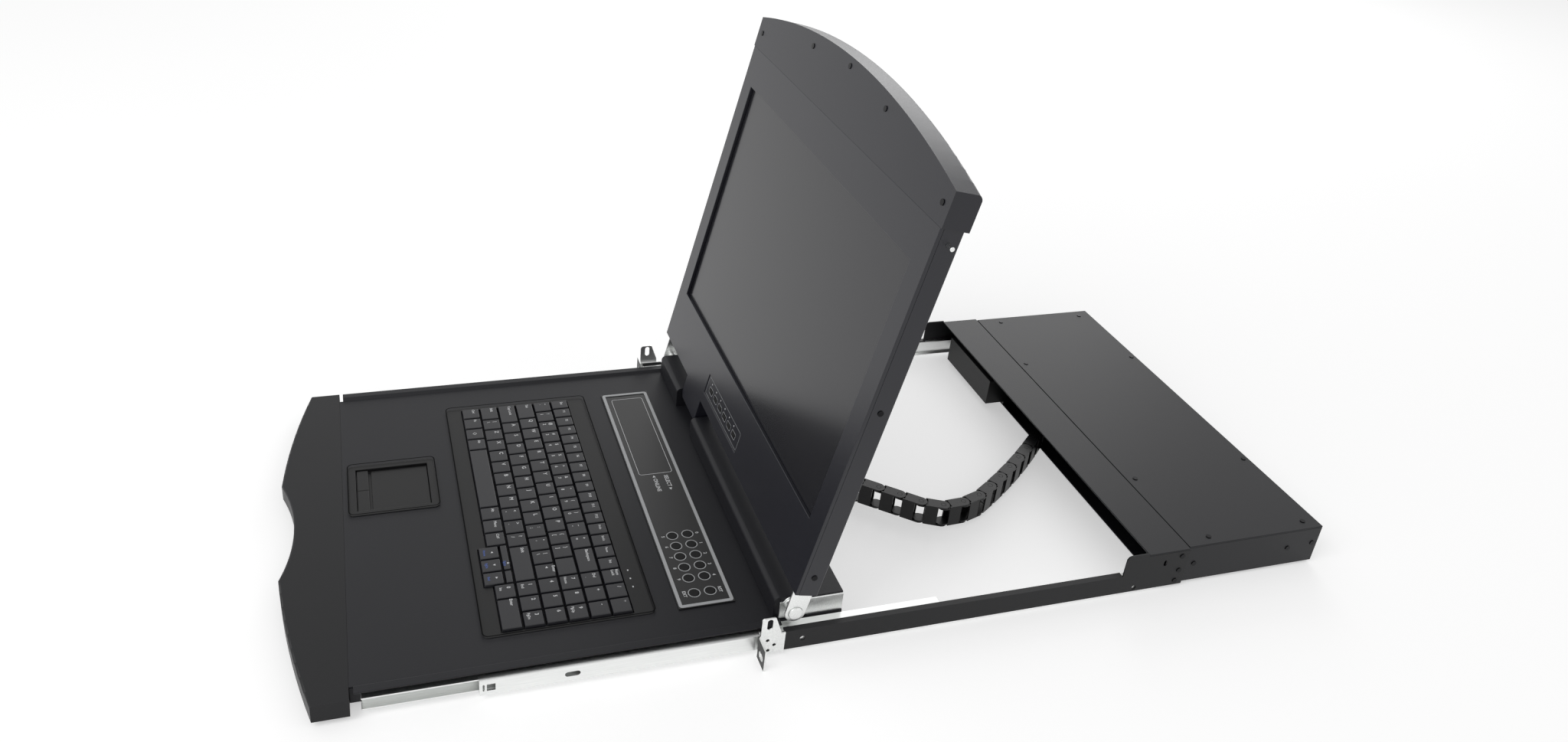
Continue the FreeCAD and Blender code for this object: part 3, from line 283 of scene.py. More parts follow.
def brushed_group():
    """Fine rolling lines of plated strip, along Y."""
    group, given, result = new_group(
        "Rolled Lines", [("Line Size", 0.0006), ("Stretch", 0.02), ("Drift", 0.3)], ["Height", "Shade"])
    place = group.nodes.new("ShaderNodeTexCoord")
    scaled = group.nodes.new("ShaderNodeMapping")
    scaled.vector_type = "POINT"
    stretch = group.nodes.new("ShaderNodeCombineXYZ")
    stretch.inputs[0].default_value = 1.0
    stretch.inputs[2].default_value = 1.0
    group.links.new(given.outputs["Stretch"], stretch.inputs[1])
    group.links.new(place.outputs["Object"], scaled.inputs["Vector"])
    group.links.new(stretch.outputs[0], scaled.inputs["Scale"])
    lines = group.nodes.new("ShaderNodeTexNoise")
    lines.inputs["Detail"].default_value = 3.0
    group.links.new(scaled.outputs[0], lines.inputs["Vector"])
    group.links.new(math_node(group, "DIVIDE", 1.0, given.outputs["Line Size"]), lines.inputs["Scale"])
    centred = math_node(group, "SUBTRACT", lines.outputs["Fac"], 0.5)
    drift = math_node(group, "MULTIPLY", centred, given.outputs["Drift"])
    group.links.new(math_node(group, "ADD", drift, 1.0), result.inputs["Shade"])
    group.links.new(lines.outputs["Fac"], result.inputs["Height"])
    return group


class Kit:
    """What the operators share once it is built."""

    materials = {}
    groups = {}


def plain_material(name, base, roughness, metallic=0.0):
    material = bpy.data.materials.new(name)
    material.use_nodes = True
    shader = material.node_tree.nodes["Principled BSDF"]
    shader.inputs["Base Color"].default_value = (*base, 1.0)
    shader.inputs["Roughness"].default_value = roughness
    shader.inputs["Metallic"].default_value = metallic
    Kit.materials[name] = material
    return material, shader


def grained_material(name, base, roughness, grain, bump, effect="Surface Grain", metallic=0.0, drift=0.25,
                     spread=0.12, specular=0.3):
    """A surface whose shade, gloss and bump follow one of the shared effects."""
    material, shader = plain_material(name, base, roughness, metallic)
    tree = material.node_tree
    shader.inputs["Specular IOR Level"].default_value = specular
    node = tree.nodes.new("ShaderNodeGroup")
    node.node_tree = Kit.groups[effect]
    node.inputs[0].default_value = grain
    node.inputs["Drift"].default_value = drift
    tint = tree.nodes.new("ShaderNodeMix")
    tint.data_type = "RGBA"
    tint.blend_type = "MULTIPLY"
    tint.inputs["Factor"].default_value = 1.0
    tint.inputs["A"].default_value = (*base, 1.0)
    tree.links.new(node.outputs["Shade"], tint.inputs["B"])
    tree.links.new(tint.outputs["Result"], shader.inputs["Base Color"])
    rough = math_node(tree, "MULTIPLY_ADD", node.outputs["Height"], spread, roughness - spread / 2)
    tree.links.new(rough, shader.inputs["Roughness"])
    relief = tree.nodes.new("ShaderNodeBump")
    relief.inputs["Strength"].default_value = bump
    relief.inputs["Distance"].default_value = BUMP_DEPTH
    tree.links.new(node.outputs["Height"], relief.inputs["Height"])
    tree.links.new(relief.outputs[0], shader.inputs["Normal"])


SLOT_MATERIALS = {
    "rail_paint": "Rail Paint", "ear_steel": "Ear Plating", "slide_steel": "Slide Strip",
    "case_paint": "Housing Paint", "box_plastic": "Box Plastic", "screw_steel": "Black Screw",
    "chain_plastic": "Chain Nylon", "tray_paint": "Tray Paint", "bezel_plastic": "Bezel Plastic",
    "zinc_steel": "Hinge Zinc", "frame_plastic": "Frame Plastic", "pad_plastic": "Touch Plastic",
    "panel_plastic": "Panel Overlay", "button_rubber": "Button Silicone", "key_plastic": "Key Plastic",
    "lid_paint": "Lid Paint", "cover_plastic": "Lid Cover Paint", "screen_face": "Screen Face",
    "pin_steel": "Turned Steel"}


class CONSOLE_OT_finishes(bpy.types.Operator):
    """Build every material and put it on the CAD nodes"""

    bl_idname = "console.finishes"
    bl_label = "Finishes"

    def execute(self, context):
        tone = context.scene.console_finishes
        Kit.groups["Surface Grain"] = grain_group()
        Kit.groups["Rolled Lines"] = brushed_group()
        # Name, colour, roughness, size of the grain, strength of the bump
        grained_material("Tray Paint", tone.tray_paint, 0.46, 0.0009, 0.35)
        grained_material("Lid Paint", tone.lid_paint, 0.32, 0.0009, 0.28, specular=0.5)
        grained_material("Lid Cover Paint", tone.lid_paint, 0.34, 0.0009, 0.28, specular=0.46)
        grained_material("Housing Paint", tone.case_paint, 0.40, 0.0008, 0.3)
        grained_material("Rail Paint", tone.rail_paint, 0.44, 0.0008, 0.3)
        grained_material("Bezel Plastic", tone.bezel_plastic, 0.44, 0.0007, 0.3)
        grained_material("Box Plastic", tone.frame_plastic, 0.4, 0.0009, 0.3)
        grained_material("Chain Nylon", tone.chain_nylon, 0.38, 0.0016, 0.35)
        grained_material("Frame Plastic", tone.frame_plastic, 0.42, 0.0007, 0.25)
        grained_material("Touch Plastic", tone.frame_plastic, 0.36, 0.0005, 0.15)
        grained_material("Panel Overlay", tone.frame_plastic, 0.34, 0.0005, 0.12, specular=0.5)
        grained_material("Button Silicone", tone.rubber, 0.6, 0.0006, 0.2)
        grained_material("Key Plastic", tone.key_plastic, 0.34, 0.0006, 0.2, specular=0.5)
        grained_material("Screen Face", tone.screen, 0.2, 0.0004, 0.03, drift=0.05, spread=0.02, specular=0.5)
        grained_material("Slide Strip", tone.zinc, 0.3, 0.0007, 0.1, "Rolled Lines", 1.0)
        grained_material("Ear Plating", tone.zinc, 0.34, 0.0012, 0.1, metallic=1.0)
        # Painted shade: darker finish for the ear's screw flange
        grained_material("Ear Flange Painted Shade", tone.rail_paint, 0.4, 0.0012, 0.1, metallic=0.3)
        # Painted shade of the gap round the keyboard and touchpad frames
        grained_material("Seam Shadow", tone.gap, 0.8, 0.0006, 0.1, specular=0.1)
        grained_material("Hinge Zinc", tone.zinc, 0.3, 0.0012, 0.12, metallic=1.0)
        grained_material("Black Screw", tone.rail_paint, 0.3, 0.0005, 0.2, metallic=0.6)
        grained_material("Turned Steel", tone.zinc, 0.22, 0.0004, 0.1, metallic=1.0)
        grained_material("Silver Trim", tone.silver_trim, 0.42, 0.0006, 0.15, drift=0.1)
        grained_material("Legend Ink", tone.legend, 0.55, 0.0004, 0.1, drift=0.05)
        grained_material("Blue Ink", tone.legend_blue, 0.55, 0.0004, 0.1, drift=0.05)
        for name, node in frame["nodes"].items():
            node.data.materials.clear()
            node.data.materials.append(Kit.materials[SLOT_MATERIALS[NODE_SLOTS[name]]])
        return {"FINISHED"}


# ---- Building pieces ----

def add_piece(name, mesh, body, material):
    """Put a mesh in the scene, on its body, in its finish."""
    piece = bpy.data.objects.new(name, mesh)
    bpy.context.scene.collection.objects.link(piece)
    mesh.materials.append(Kit.materials[material])
    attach(piece, body)
    return piece


def mesh_from(bm, name):
    mesh = bpy.data.meshes.new(name)
    bmesh.ops.recalc_face_normals(bm, faces=bm.faces)
    bm.to_mesh(mesh)
    bm.free()
    return mesh


def body_of_node(name):
    return frame["nodes"][name]["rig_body"]


BEVEL_SEGMENTS = 2
MERGE_DISTANCE = 1e-6
FLAT_WITHIN = math.radians(1.0)
SHARP_FROM = math.radians(35)


def softened(node_name, width):
    """Stand a copy with broken edges in place of a sharp-edged node."""
    node = frame["nodes"][node_name]
    bm = bmesh.new()
    bm.from_mesh(node.data)
    bmesh.ops.remove_doubles(bm, verts=bm.verts, dist=MERGE_DISTANCE)
    bmesh.ops.dissolve_limit(bm, angle_limit=FLAT_WITHIN, verts=bm.verts, edges=bm.edges)
    mesh = bpy.data.meshes.new(f"{node_name}_soft")
    bm.to_mesh(mesh)
    bm.free()
    for polygon in mesh.polygons:
        polygon.use_smooth = True
    slot = NODE_SLOTS[node_name]
    piece = add_piece(f"{node_name}_soft", mesh, body_of_node(node_name), SLOT_MATERIALS[slot])
    bevel = piece.modifiers.new("Broken edges", "BEVEL")
    bevel.width = width
    bevel.segments = BEVEL_SEGMENTS
    bevel.limit_method = "ANGLE"
    bevel.angle_limit = SHARP_FROM
    even = piece.modifiers.new("Even shading", "WEIGHTED_NORMAL")
    even.weight = 100
    even.keep_sharp = False
    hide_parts(node_name)


FONT_OVER_CAPITAL = 1.38
STROKE_SHARE = 0.025


class Print:
    """Flat ink marks that share one mesh, on a plane given by its matrix."""

    def __init__(self, place=None):
        self.bm = bmesh.new()
        self.place = place or Matrix.Identity(4)

    def words(self, text, x, y, z, height, align="CENTER"):
        curve = bpy.data.curves.new("words", "FONT")
        curve.body = text
        curve.size = height * FONT_OVER_CAPITAL
        curve.align_x = align
        curve.align_y = "CENTER"
        curve.resolution_u = 2
        curve.offset = height * STROKE_SHARE
        holder = bpy.data.objects.new("words", curve)
        flat = bpy.data.meshes.new_from_object(holder)
        flat.transform(self.place @ Matrix.Translation((x, y, z)))
        self.bm.from_mesh(flat)
        bpy.data.meshes.remove(flat)
        bpy.data.objects.remove(holder)
        bpy.data.curves.remove(curve)

    def face(self, points, z):
        verts = [self.bm.verts.new(self.place @ Vector((x, y, z))) for x, y in points]
        self.bm.faces.new(verts)

    def arrow(self, x, y, z, size, turn=0.0):
        points = [(-0.5, -0.45), (0.5, -0.45), (0.0, 0.55)]
        cos, sin = math.cos(turn) * size, math.sin(turn) * size
        self.face([(x + u * cos - v * sin, y + u * sin + v * cos) for u, v in points], z)

    def bar(self, x_low, x_high, y_low, y_high, z):
        self.face([(x_low, y_low), (x_high, y_low), (x_high, y_high), (x_low, y_high)], z)

    def loop(self, outline, inset, z):
        """A closed line between an outline and the same outline drawn in by the line's width."""
        inner = [self.bm.verts.new(self.place @ Vector((*point, z))) for point in inset]
        outer = [self.bm.verts.new(self.place @ Vector((*point, z))) for point in outline]
        for index in range(len(outer)):
            after = (index + 1) % len(outer)
            self.bm.faces.new((outer[index], outer[after], inner[after], inner[index]))

    def frame_line(self, x_low, x_high, y_low, y_high, radius, width, z):
        self.loop(rounded_box(x_low, x_high, y_low, y_high, radius),
                  rounded_box(x_low + width, x_high - width, y_low + width, y_high - width,
                              max(radius - width, 0.00001)), z)

    def ring(self, x, y, radius, width, z, sides=32):
        turns = [math.tau * step / sides for step in range(sides)]
        outer, inner = [[(x + reach * math.cos(turn), y + reach * math.sin(turn)) for turn in turns]
                        for reach in (radius, radius - width)]
        self.loop(outer, inner, z)

    def finish(self, name, body, material):
        mesh = bpy.data.meshes.new(name)
        self.bm.to_mesh(mesh)
        self.bm.free()
        return add_piece(name, mesh, body, material)


def rounded_box(x_low, x_high, y_low, y_high, radius, steps=6):
    """Corner points of a rounded rectangle."""
    points = []
    corners = ((x_high - radius, y_high - radius, 0), (x_low + radius, y_high - radius, 1),
               (x_low + radius, y_low + radius, 2), (x_high - radius, y_low + radius, 3))
    for x, y, quarter in corners:
        for step in range(steps + 1):
            turn = math.pi / 2 * (quarter + step / steps)
            points.append((x + radius * math.cos(turn), y + radius * math.sin(turn)))
    return points


def lid_place():
    """From the lid's own plane, X across and Y from the hinge to the top, to the open lid's face."""
    turn = Matrix.Rotation(-math.radians(HINGE["range_deg"][1]), 4, "X")
    flat = Matrix.Rotation(math.pi, 4, "X")
    return Matrix.Translation(HINGE["pos_m"]) @ turn @ flat


# ---- Keyboard ----

BLOCK_UNITS = 14.75
BLOCK_ROWS = 5
ARROW_COLUMN = 12.0
ARROW_WIDTH = (BLOCK_UNITS - ARROW_COLUMN) / 3
ARROW_FRONT = -0.42
KEY_NODES = ("function_keys", "main_keys", "space_bar", "enter_key", "arrow_keys", "numpad_keys")

# Shares of a key's width and depth at which its legends stand
LETTER_PLACE = (0.3, 0.66)
UPPER_PLACE = (0.3, 0.7)
LOWER_PLACE = (0.3, 0.34)
WORD_PLACE = (0.16, 0.64)
SECOND_PLACE = (0.36, 0.3)

# Start of each row in key units, and the legends of the keys that follow, a unit each
PLAIN_ROWS = {
    4: (0.0, ["~`", "!1", "@2", "#3", "$4", "%5", "^6", "&7", "*8", "(9", ")0", "_-", "+="]),
    3: (1.5, list("QWERTYUIOP") + ["{[", "}]"]),
    2: (1.75, list("ASDFGHJKL") + [":;", "\"'", "|\\"]),
    1: (1.25, ["|\\"] + list("ZXCVBNM") + ["<,", ">.", "?/"]),
}
WORD_KEYS = [
    (13.0, 4, "Backspace"), (0.0, 3, "Tab"), (0.0, 2, "Caps Lock"), (0.0, 1, "Shift"), (12.25, 1, "Shift"),
    (0.0, 0, "Ctrl"), (1.0, 0, "Fn"), (3.0, 0, "Alt"), (9.0, 0, "Alt"), (10.0, 0, "Menu"), (11.0, 0, "Ctrl")]
TOP_ROW = ["Esc"] + [f"F{number}" for number in range(1, 13)] + ["PrtSc", "ScrLk", "Pause", "Ins"]
SIDE_KEYS = [
    (14.75, 5, "Num\nLock", ""), (15.75, 5, "/", ""), (16.75, 5, "*", ""),
    (14.75, 4, "Del", "."), (15.75, 4, "+", ""), (16.75, 4, "-", ""),
    (14.75, 3, "7", "Home"), (15.75, 3, "8", ""), (16.75, 3, "9", "PgUp"),
    (14.75, 2, "4", ""), (15.75, 2, "5", ""), (16.75, 2, "6", ""),
    (14.75, 1, "1", "End"), (15.75, 1, "2", ""), (16.75, 1, "3", "PgDn"),
    (14.75, 0, "0", "Ins"), (15.75, 0, "Enter", "")]


# Column, turn of the arrow and blue word of the front three, from the left
ARROW_MARKS = [(0, math.pi / 2, "Home"), (1, math.pi, "PgDn"), (2, -math.pi / 2, "End")]


class Keyboard:
    """The grid of the keys, read from the main key block."""

    def __init__(self, gap, rise):
        low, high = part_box("main_keys")
        self.unit = (high.x - low.x + gap) / BLOCK_UNITS
        self.row = (high.y - low.y + gap) / BLOCK_ROWS
        self.left = low.x - gap / 2
        self.front = low.y - gap / 2
        self.ink = high.z + rise

    def at(self, column, row, across, up):
        x = self.left + (column + across) * self.unit
        return x, self.front + (row + up) * self.row, self.ink


def main_legends(keys, sizes):
    ink = Print()
    for row, (start, legends) in PLAIN_ROWS.items():
        for number, legend in enumerate(legends):
            if len(legend) == 1:
                ink.words(legend, *keys.at(start + number, row, *LETTER_PLACE), sizes.letter * 0.8)
            else:
                for sign, where in zip(legend, (UPPER_PLACE, LOWER_PLACE)):
                    ink.words(sign, *keys.at(start + number, row, *where), sizes.letter * 0.66)
    for column, row, word in WORD_KEYS:
        ink.words(word, *keys.at(column, row, *WORD_PLACE), sizes.small_letter, "LEFT")
    x, y, z = keys.at(2.0, 0, 0.5, 0.5)
    ink.ring(x, y, 0.0022, 0.0006, z, 4)
    ink.finish("main_key_legends", "main_keys", "Legend Ink")


def function_legends(keys, sizes):
    ink = Print()
    step = BLOCK_UNITS / len(TOP_ROW)
    for index, word in enumerate(TOP_ROW):
        height = sizes.small_letter * (1.0 if len(word) < 4 else 0.8)
        ink.words(word, *keys.at(step * index, BLOCK_ROWS, step * 0.42, 0.62), height)
    ink.finish("function_key_legends", "function_keys", "Legend Ink")


def numpad_legends(keys, sizes):
    ink = Print()
    for column, row, main, second in SIDE_KEYS:
        height = sizes.letter * 0.7 if len(main) < 2 else sizes.small_letter
        ink.words(main, *keys.at(column, row, *LETTER_PLACE), height)
        if second:
            ink.words(second, *keys.at(column, row, *SECOND_PLACE), sizes.small_letter * 0.9)
    ink.finish("numpad_legends", "numpad_keys", "Legend Ink")


def enter_legend(keys, sizes):
    ink = Print()
    x, y, z = keys.at(14.0, 2, 0.2, 0.9)
    ink.words("Enter", x, y, z, sizes.small_letter)
    ink.arrow(x - 0.003, y - 0.006, z, 0.0026, math.pi / 2)
    ink.finish("enter_legend", "enter_key", "Legend Ink")


def arrow_legends(keys, sizes):
    """White arrows and blue words: three in the front row, and the up arrow behind the middle one."""
    white = Print()
    blue = Print()
    marks = [(column, ARROW_FRONT, turn, word, 0.64, 0.28) for column, turn, word in ARROW_MARKS]
    marks.append((1, 1 + ARROW_FRONT, 0.0, "PgUp", 0.30, 0.13))
    for number, row, turn, word, arrow_up, word_up in marks:
        column = ARROW_COLUMN + number * ARROW_WIDTH
        white.arrow(*keys.at(column, row, 0.46, arrow_up), 0.0024, turn)
        blue.words(word, *keys.at(column, row, 0.46, word_up), sizes.small_letter * 0.8)
    white.finish("arrow_legends", "arrow_keys", "Legend Ink")
    blue.finish("arrow_second_legends", "arrow_keys", "Blue Ink")


def lock_lamps(panel, rise):
    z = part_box("keyboard_frame")[1].z + rise
    lamps = Print()
    for number in range(3):
        x = panel.lamp_right + panel.lamp_pitch * number
        lamps.bar(x - panel.lamp_long / 2, x + panel.lamp_long / 2,
                  panel.lamp_front - panel.lamp_wide / 2, panel.lamp_front + panel.lamp_wide / 2, z)
    lamps.finish("lock_lamps", "tray", "Legend Ink")


class CONSOLE_OT_keyboard(bpy.types.Operator):
    """Break the edges of the key caps and print their legends"""

    bl_idname = "console.keyboard"
    bl_label = "Keyboard"

    def execute(self, context):
        sizes = context.scene.console_sizes
        for name in KEY_NODES:
            softened(name, sizes.key_edge)
        keys = Keyboard(sizes.key_gap, sizes.print_rise)
        for legends in (main_legends, function_legends, numpad_legends, enter_legend, arrow_legends):
            legends(keys, sizes)
        lock_lamps(context.scene.console_panel, sizes.print_rise)
        return {"FINISHED"}


# ---- Hotkey panel ----

HOTKEY_WORDS = (["5", "6", "7", "8", "9", "EXT"], ["0", "1", "2", "3", "4", "RST"])


def panel_border(panel, sizes, low, high):
    border = Print()
    border.frame_line(low.x + panel.rim, high.x - panel.rim, low.y + panel.rim, high.y - panel.rim,
                      panel.corner, sizes.border_line, high.z + sizes.print_rise)
    border.finish("panel_border_line", "tray", "Silver Trim")


def hotkey_grid(panel):
    """Radius of the buttons, their columns, and their front and rear rows."""
    front_low, front_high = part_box("hotkeys_front_row")
    rear_low, rear_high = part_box("hotkeys_rear_row")
    radius = (front_high.y - front_low.y) / 2
    columns = [front_low.x + radius + panel.pitch * number for number in range(5)] + [front_high.x - radius]
    return radius, columns, [(front_low.y + front_high.y) / 2, (rear_low.y + rear_high.y) / 2]


def hotkey_rings(panel, plate, radius, columns, rows):
    rings = Print()
    for y in rows:
        for x in columns:
            rings.ring(x, y, radius + panel.ring_gap, panel.ring_line, plate)
    rings.finish("hotkey_rings", "tray", "Silver Trim")


def panel_words(panel, letter, plate, low, high, radius, columns, rows):
    """Word of each button, the two words with their pointers, and the line round the window."""
    ink = Print()
    for y, side, words in zip(rows, (-1, 1), HOTKEY_WORDS):
        for x, word in zip(columns, words):
            ink.words(word, x, y + side * (radius + panel.word_gap), plate, letter * 0.75)
    select_y = high.y - panel.select_rear
    online_y = low.y + panel.online_front
    ink.words("SELECT", low.x + panel.select_left, select_y, plate, letter, "LEFT")
    ink.arrow(low.x + panel.select_pointer, select_y, plate, panel.pointer, -math.pi / 2)
    ink.words("ONLINE", low.x + panel.online_left, online_y, plate, letter, "LEFT")
    ink.arrow(low.x + panel.online_pointer, online_y, plate, panel.pointer, math.pi / 2)
    ink.frame_line(low.x + panel.window_left, low.x + panel.window_right, low.y + panel.window_front,
                   high.y - panel.window_rear, panel.corner, panel.window_line, plate)
    ink.finish("panel_words", "tray", "Legend Ink")


class CONSOLE_OT_hotkeys(bpy.types.Operator):
    """Lay the silver border, the window line, the words and the button rings on the hotkey panel"""

    bl_idname = "console.hotkeys"
    bl_label = "Hotkey panel"

    def execute(self, context):
        sizes = context.scene.console_sizes
        panel = context.scene.console_panel
        low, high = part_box("hotkey_panel")
        plate = high.z - panel.plate_depth + sizes.print_rise
        grid = hotkey_grid(panel)
        panel_border(panel, sizes, low, high)
        hotkey_rings(panel, plate, *grid)
        panel_words(panel, sizes.panel_letter, plate, low, high, *grid)
        return {"FINISHED"}


# ---- Lid face ----

SCREEN_BUTTONS = 6
LAMP_SIDES = 12


def screen_control_lines(screen, place, floor):
    lines = Print(place)
    lines.frame_line(screen.frame_left, screen.frame_right, screen.frame_low, screen.frame_high,
                     screen.corner, screen.frame_line, floor)
    for number in range(SCREEN_BUTTONS):
        x = screen.button_first + screen.button_pitch * number
        lines.frame_line(x - screen.button_half, x + screen.button_half, screen.button_low,
                         screen.button_high, screen.corner, screen.button_line, floor)
    lines.finish("screen_control_lines", "lid", "Silver Trim")


def screen_control_lamps(screen, place, floor):
    lamps = Print(place)
    for number in range(SCREEN_BUTTONS):
        x = screen.lamp_first + screen.lamp_pitch * number
        lamps.ring(x, screen.lamp_height, screen.lamp_radius, screen.lamp_line, floor, LAMP_SIDES)
    lamps.finish("screen_control_lamps", "lid", "Legend Ink")


class CONSOLE_OT_lid_face(bpy.types.Operator):
    """Mark the screen controls and their lamps on the lid"""

    bl_idname = "console.lid_face"
    bl_label = "Lid face"

    def execute(self, context):
        screen = context.scene.console_screen
        floor = screen.face - screen.recess + context.scene.console_sizes.print_rise
        place = lid_place()
        screen_control_lines(screen, place, floor)
        screen_control_lamps(screen, place, floor)
        return {"FINISHED"}


# ---- Rails, tray and case ----

SOFT_NODES = [
    "tray_plate", "tray_pan", "front_bezel", "rear_housing", "keyboard_frame", "touchpad_frame",
    "touchpad_pad", "touchpad_button_left", "touchpad_button_right", "hotkey_panel", "hotkeys_front_row",
    "hotkeys_rear_row", "lid_bezel", "lid_back", "lid_cover", "osd_buttons", "switch_case", "switch_lid",
    "bridge_plate", "power_box", "rail_left", "rail_right", "rack_ear_left", "rack_ear_right",
    "hinge_base_left", "hinge_base_right", "hinge_leaf_left", "hinge_leaf_right", "slide_middle_left",
    "slide_middle_right", "slide_inner_left", "slide_inner_right", "slide_outer_left", "slide_outer_right",
    "latch_pin_left", "latch_pin_right"]
FACES_ALONG = 0.9
SMALLEST_FLANGE_FACE = 0.0001


def shade_flange(ear, height):
    """The screw flange of an ear, which faces the rack post, gets a darker finish as painted shade."""
    ear.data.materials.append(Kit.materials["Ear Flange Painted Shade"])
    top = min(vertex.co.z for vertex in ear.data.vertices) + height
    for polygon in ear.data.polygons:
        faces_post = abs(polygon.normal.y) > FACES_ALONG and polygon.area > SMALLEST_FLANGE_FACE
        if faces_post and polygon.center.z < top:
            polygon.material_index = 1


def frame_seam_shade(sizes):
    """Painted shade: a dark line for the shade in the gap round the keyboard and touchpad frames."""
    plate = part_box("tray_plate")[1].z + sizes.print_rise
    gap = sizes.frame_gap
    seam_shade_lines = Print()
    for name in ("keyboard_frame", "touchpad_frame"):
        low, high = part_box(name)
        seam_shade_lines.frame_line(low.x - gap, high.x + gap, low.y - gap, high.y + gap,
                         sizes.frame_corner, gap + sizes.frame_overlap, plate)
    seam_shade_lines.finish("frame_gap_shade_lines", "tray", "Seam Shadow")


class CONSOLE_OT_soft_edges(bpy.types.Operator):
    """Break the sharp edges of the folded and moulded parts"""

    bl_idname = "console.soft_edges"
    bl_label = "Soft edges"

    def execute(self, context):
        sizes = context.scene.console_sizes
        for name in SOFT_NODES:
            softened(name, sizes.soft_edge)
        for side in ("left", "right"):
            shade_flange(bpy.data.objects[f"rack_ear_{side}_soft"], sizes.flange_height)
        frame_seam_shade(sizes)
        return {"FINISHED"}


# ---- Stage ----

def area_lamp(name, place, target, size, power):
    lamp = bpy.data.lights.new(name, "AREA")
    lamp.shape = "RECTANGLE"
    lamp.size, lamp.size_y = size
    lamp.energy = power
    holder = bpy.data.objects.new(name, lamp)
    holder.location = place
    holder.rotation_euler = (Vector(target) - Vector(place)).to_track_quat("-Z", "Y").to_euler()
    bpy.context.scene.collection.objects.link(holder)


def looking_rays(tree):
    """1 for the rays of the camera, of a reflection and of a view through, else 0."""
    seen = tree.nodes.new("ShaderNodeLightPath")
    direct = math_node(tree, "MAXIMUM", seen.outputs["Is Camera Ray"], seen.outputs["Is Glossy Ray"])
    return math_node(tree, "MAXIMUM", direct, seen.outputs["Is Transmission Ray"])


def lifted_surface(tree, surface, lift):
    """Lift a surface to white for the rays that look at it, and keep the shadow that falls on it."""
    glow = tree.nodes.new("ShaderNodeEmission")
    tree.links.new(math_node(tree, "MULTIPLY", looking_rays(tree), lift), glow.inputs["Strength"])
    both = tree.nodes.new("ShaderNodeAddShader")
    tree.links.new(surface, both.inputs[0])
    tree.links.new(glow.outputs[0], both.inputs[1])
    return both.outputs[0]


FLOOR_PLACE = (0, 0.1)
FLOOR_ROUGHNESS = 0.9


def studio_floor(context, stage):
    bm = bmesh.new()
    bmesh.ops.create_grid(bm, x_segments=1, y_segments=1, size=stage.floor_size / 2)
    floor = bpy.data.objects.new("studio_floor", mesh_from(bm, "studio_floor"))
    floor.location = (*FLOOR_PLACE, CAD_BOX[0].z - stage.floor_gap)
    context.scene.collection.objects.link(floor)
    material, shader = plain_material("Studio Floor", [stage.floor_shade] * 3, FLOOR_ROUGHNESS)
    shader.inputs["Specular IOR Level"].default_value = 0.0
    tree = material.node_tree
    surface = lifted_surface(tree, shader.outputs[0], stage.floor_lift)
    tree.links.new(surface, tree.nodes["Material Output"].inputs["Surface"])
    floor.data.materials.append(material)


def studio_surroundings(context, stage):
    """Plain light all round, shown as white to the rays that look at it."""
    world = bpy.data.worlds.new("Studio Surroundings")
    world.use_nodes = True
    context.scene.world = world
    sky = world.node_tree
    background = sky.nodes["Background"]
    background.inputs["Color"].default_value = (1, 1, 1, 1)
    extra = math_node(sky, "MULTIPLY", looking_rays(sky), 1.0 - stage.world_level)
    sky.links.new(math_node(sky, "ADD", extra, stage.world_level), background.inputs["Strength"])


def studio_camera(context, stage):
    aim = Vector(stage.aim).normalized()
    level = aim.cross(Vector((0, 0, 1))).normalized()
    right = level * math.cos(stage.roll) + level.cross(aim).normalized() * math.sin(stage.roll)
    up = right.cross(aim).normalized()
    data = bpy.data.cameras.new("Studio Camera")
    data.lens = stage.lens
    data.sensor_width = 36.0
    data.shift_x = stage.shift_x
    data.shift_y = stage.shift_y
    data.clip_end = 100.0
    camera = bpy.data.objects.new("Studio Camera", data)
    turn = Matrix((right, up, -aim)).transposed().to_4x4()
    camera.matrix_world = Matrix.Translation(stage.eye) @ turn
    context.scene.collection.objects.link(camera)
    context.scene.camera = camera


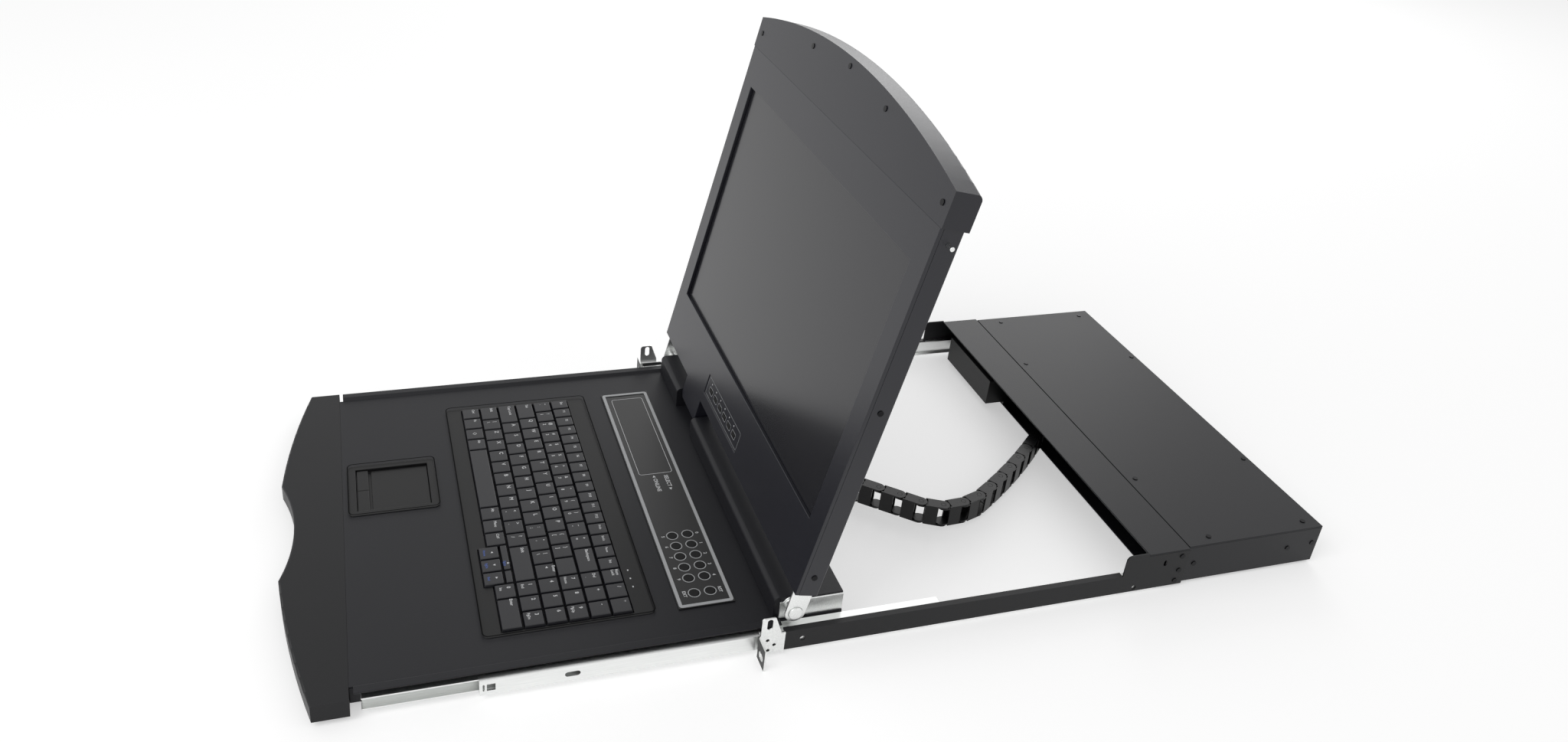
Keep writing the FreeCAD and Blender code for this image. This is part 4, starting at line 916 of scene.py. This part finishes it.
class CONSOLE_OT_stage(bpy.types.Operator):
    """Set the floor, the lamps, the surroundings and the camera"""

    bl_idname = "console.stage"
    bl_label = "Stage"

    def execute(self, context):
        stage = context.scene.console_stage
        studio_floor(context, stage)
        studio_surroundings(context, stage)
        area_lamp("Key Lamp", (-2.5, 1.7, 1.4), (0, 0.3, 0.1), (1.5, 1.3), stage.key_power)
        area_lamp("Fill Lamp", (0.9, -2.0, 2.2), (0, 0, 0), (1.6, 1.6), stage.fill_power)
        studio_camera(context, stage)
        context.scene.view_settings.view_transform = "Standard"
        return {"FINISHED"}


class CONSOLE_PT_sidebar(bpy.types.Panel):
    """Steps that dress the console"""

    bl_idname = "CONSOLE_PT_sidebar"
    bl_label = "Console Drawer"
    bl_space_type = "VIEW_3D"
    bl_region_type = "UI"
    bl_category = "Console"

    def draw(self, context):
        for step in STEPS:
            self.layout.operator(step.bl_idname)
        for name in SETTINGS:
            settings = getattr(context.scene, name)
            box = self.layout.box()
            for key in settings.__annotations__:
                box.prop(settings, key)


STEPS = (CONSOLE_OT_finishes, CONSOLE_OT_soft_edges, CONSOLE_OT_keyboard, CONSOLE_OT_hotkeys,
         CONSOLE_OT_lid_face, CONSOLE_OT_stage)
SETTINGS = {"console_finishes": ConsoleFinishes, "console_sizes": ConsoleSizes,
            "console_panel": ConsolePanel, "console_screen": ConsoleScreen, "console_stage": ConsoleStage}


def register():
    for group in SETTINGS.values():
        bpy.utils.register_class(group)
    for step in STEPS:
        bpy.utils.register_class(step)
    bpy.utils.register_class(CONSOLE_PT_sidebar)
    for name, group in SETTINGS.items():
        setattr(bpy.types.Scene, name, PointerProperty(type=group))


def unregister():
    for name in SETTINGS:
        delattr(bpy.types.Scene, name)
    bpy.utils.unregister_class(CONSOLE_PT_sidebar)
    for step in reversed(STEPS):
        bpy.utils.unregister_class(step)
    for group in reversed(list(SETTINGS.values())):
        bpy.utils.unregister_class(group)


def main():
    register()
    for step in STEPS:
        group, name = step.bl_idname.split(".")
        getattr(getattr(bpy.ops, group), name)()
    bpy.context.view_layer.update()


if __name__ == "__main__":
    main()
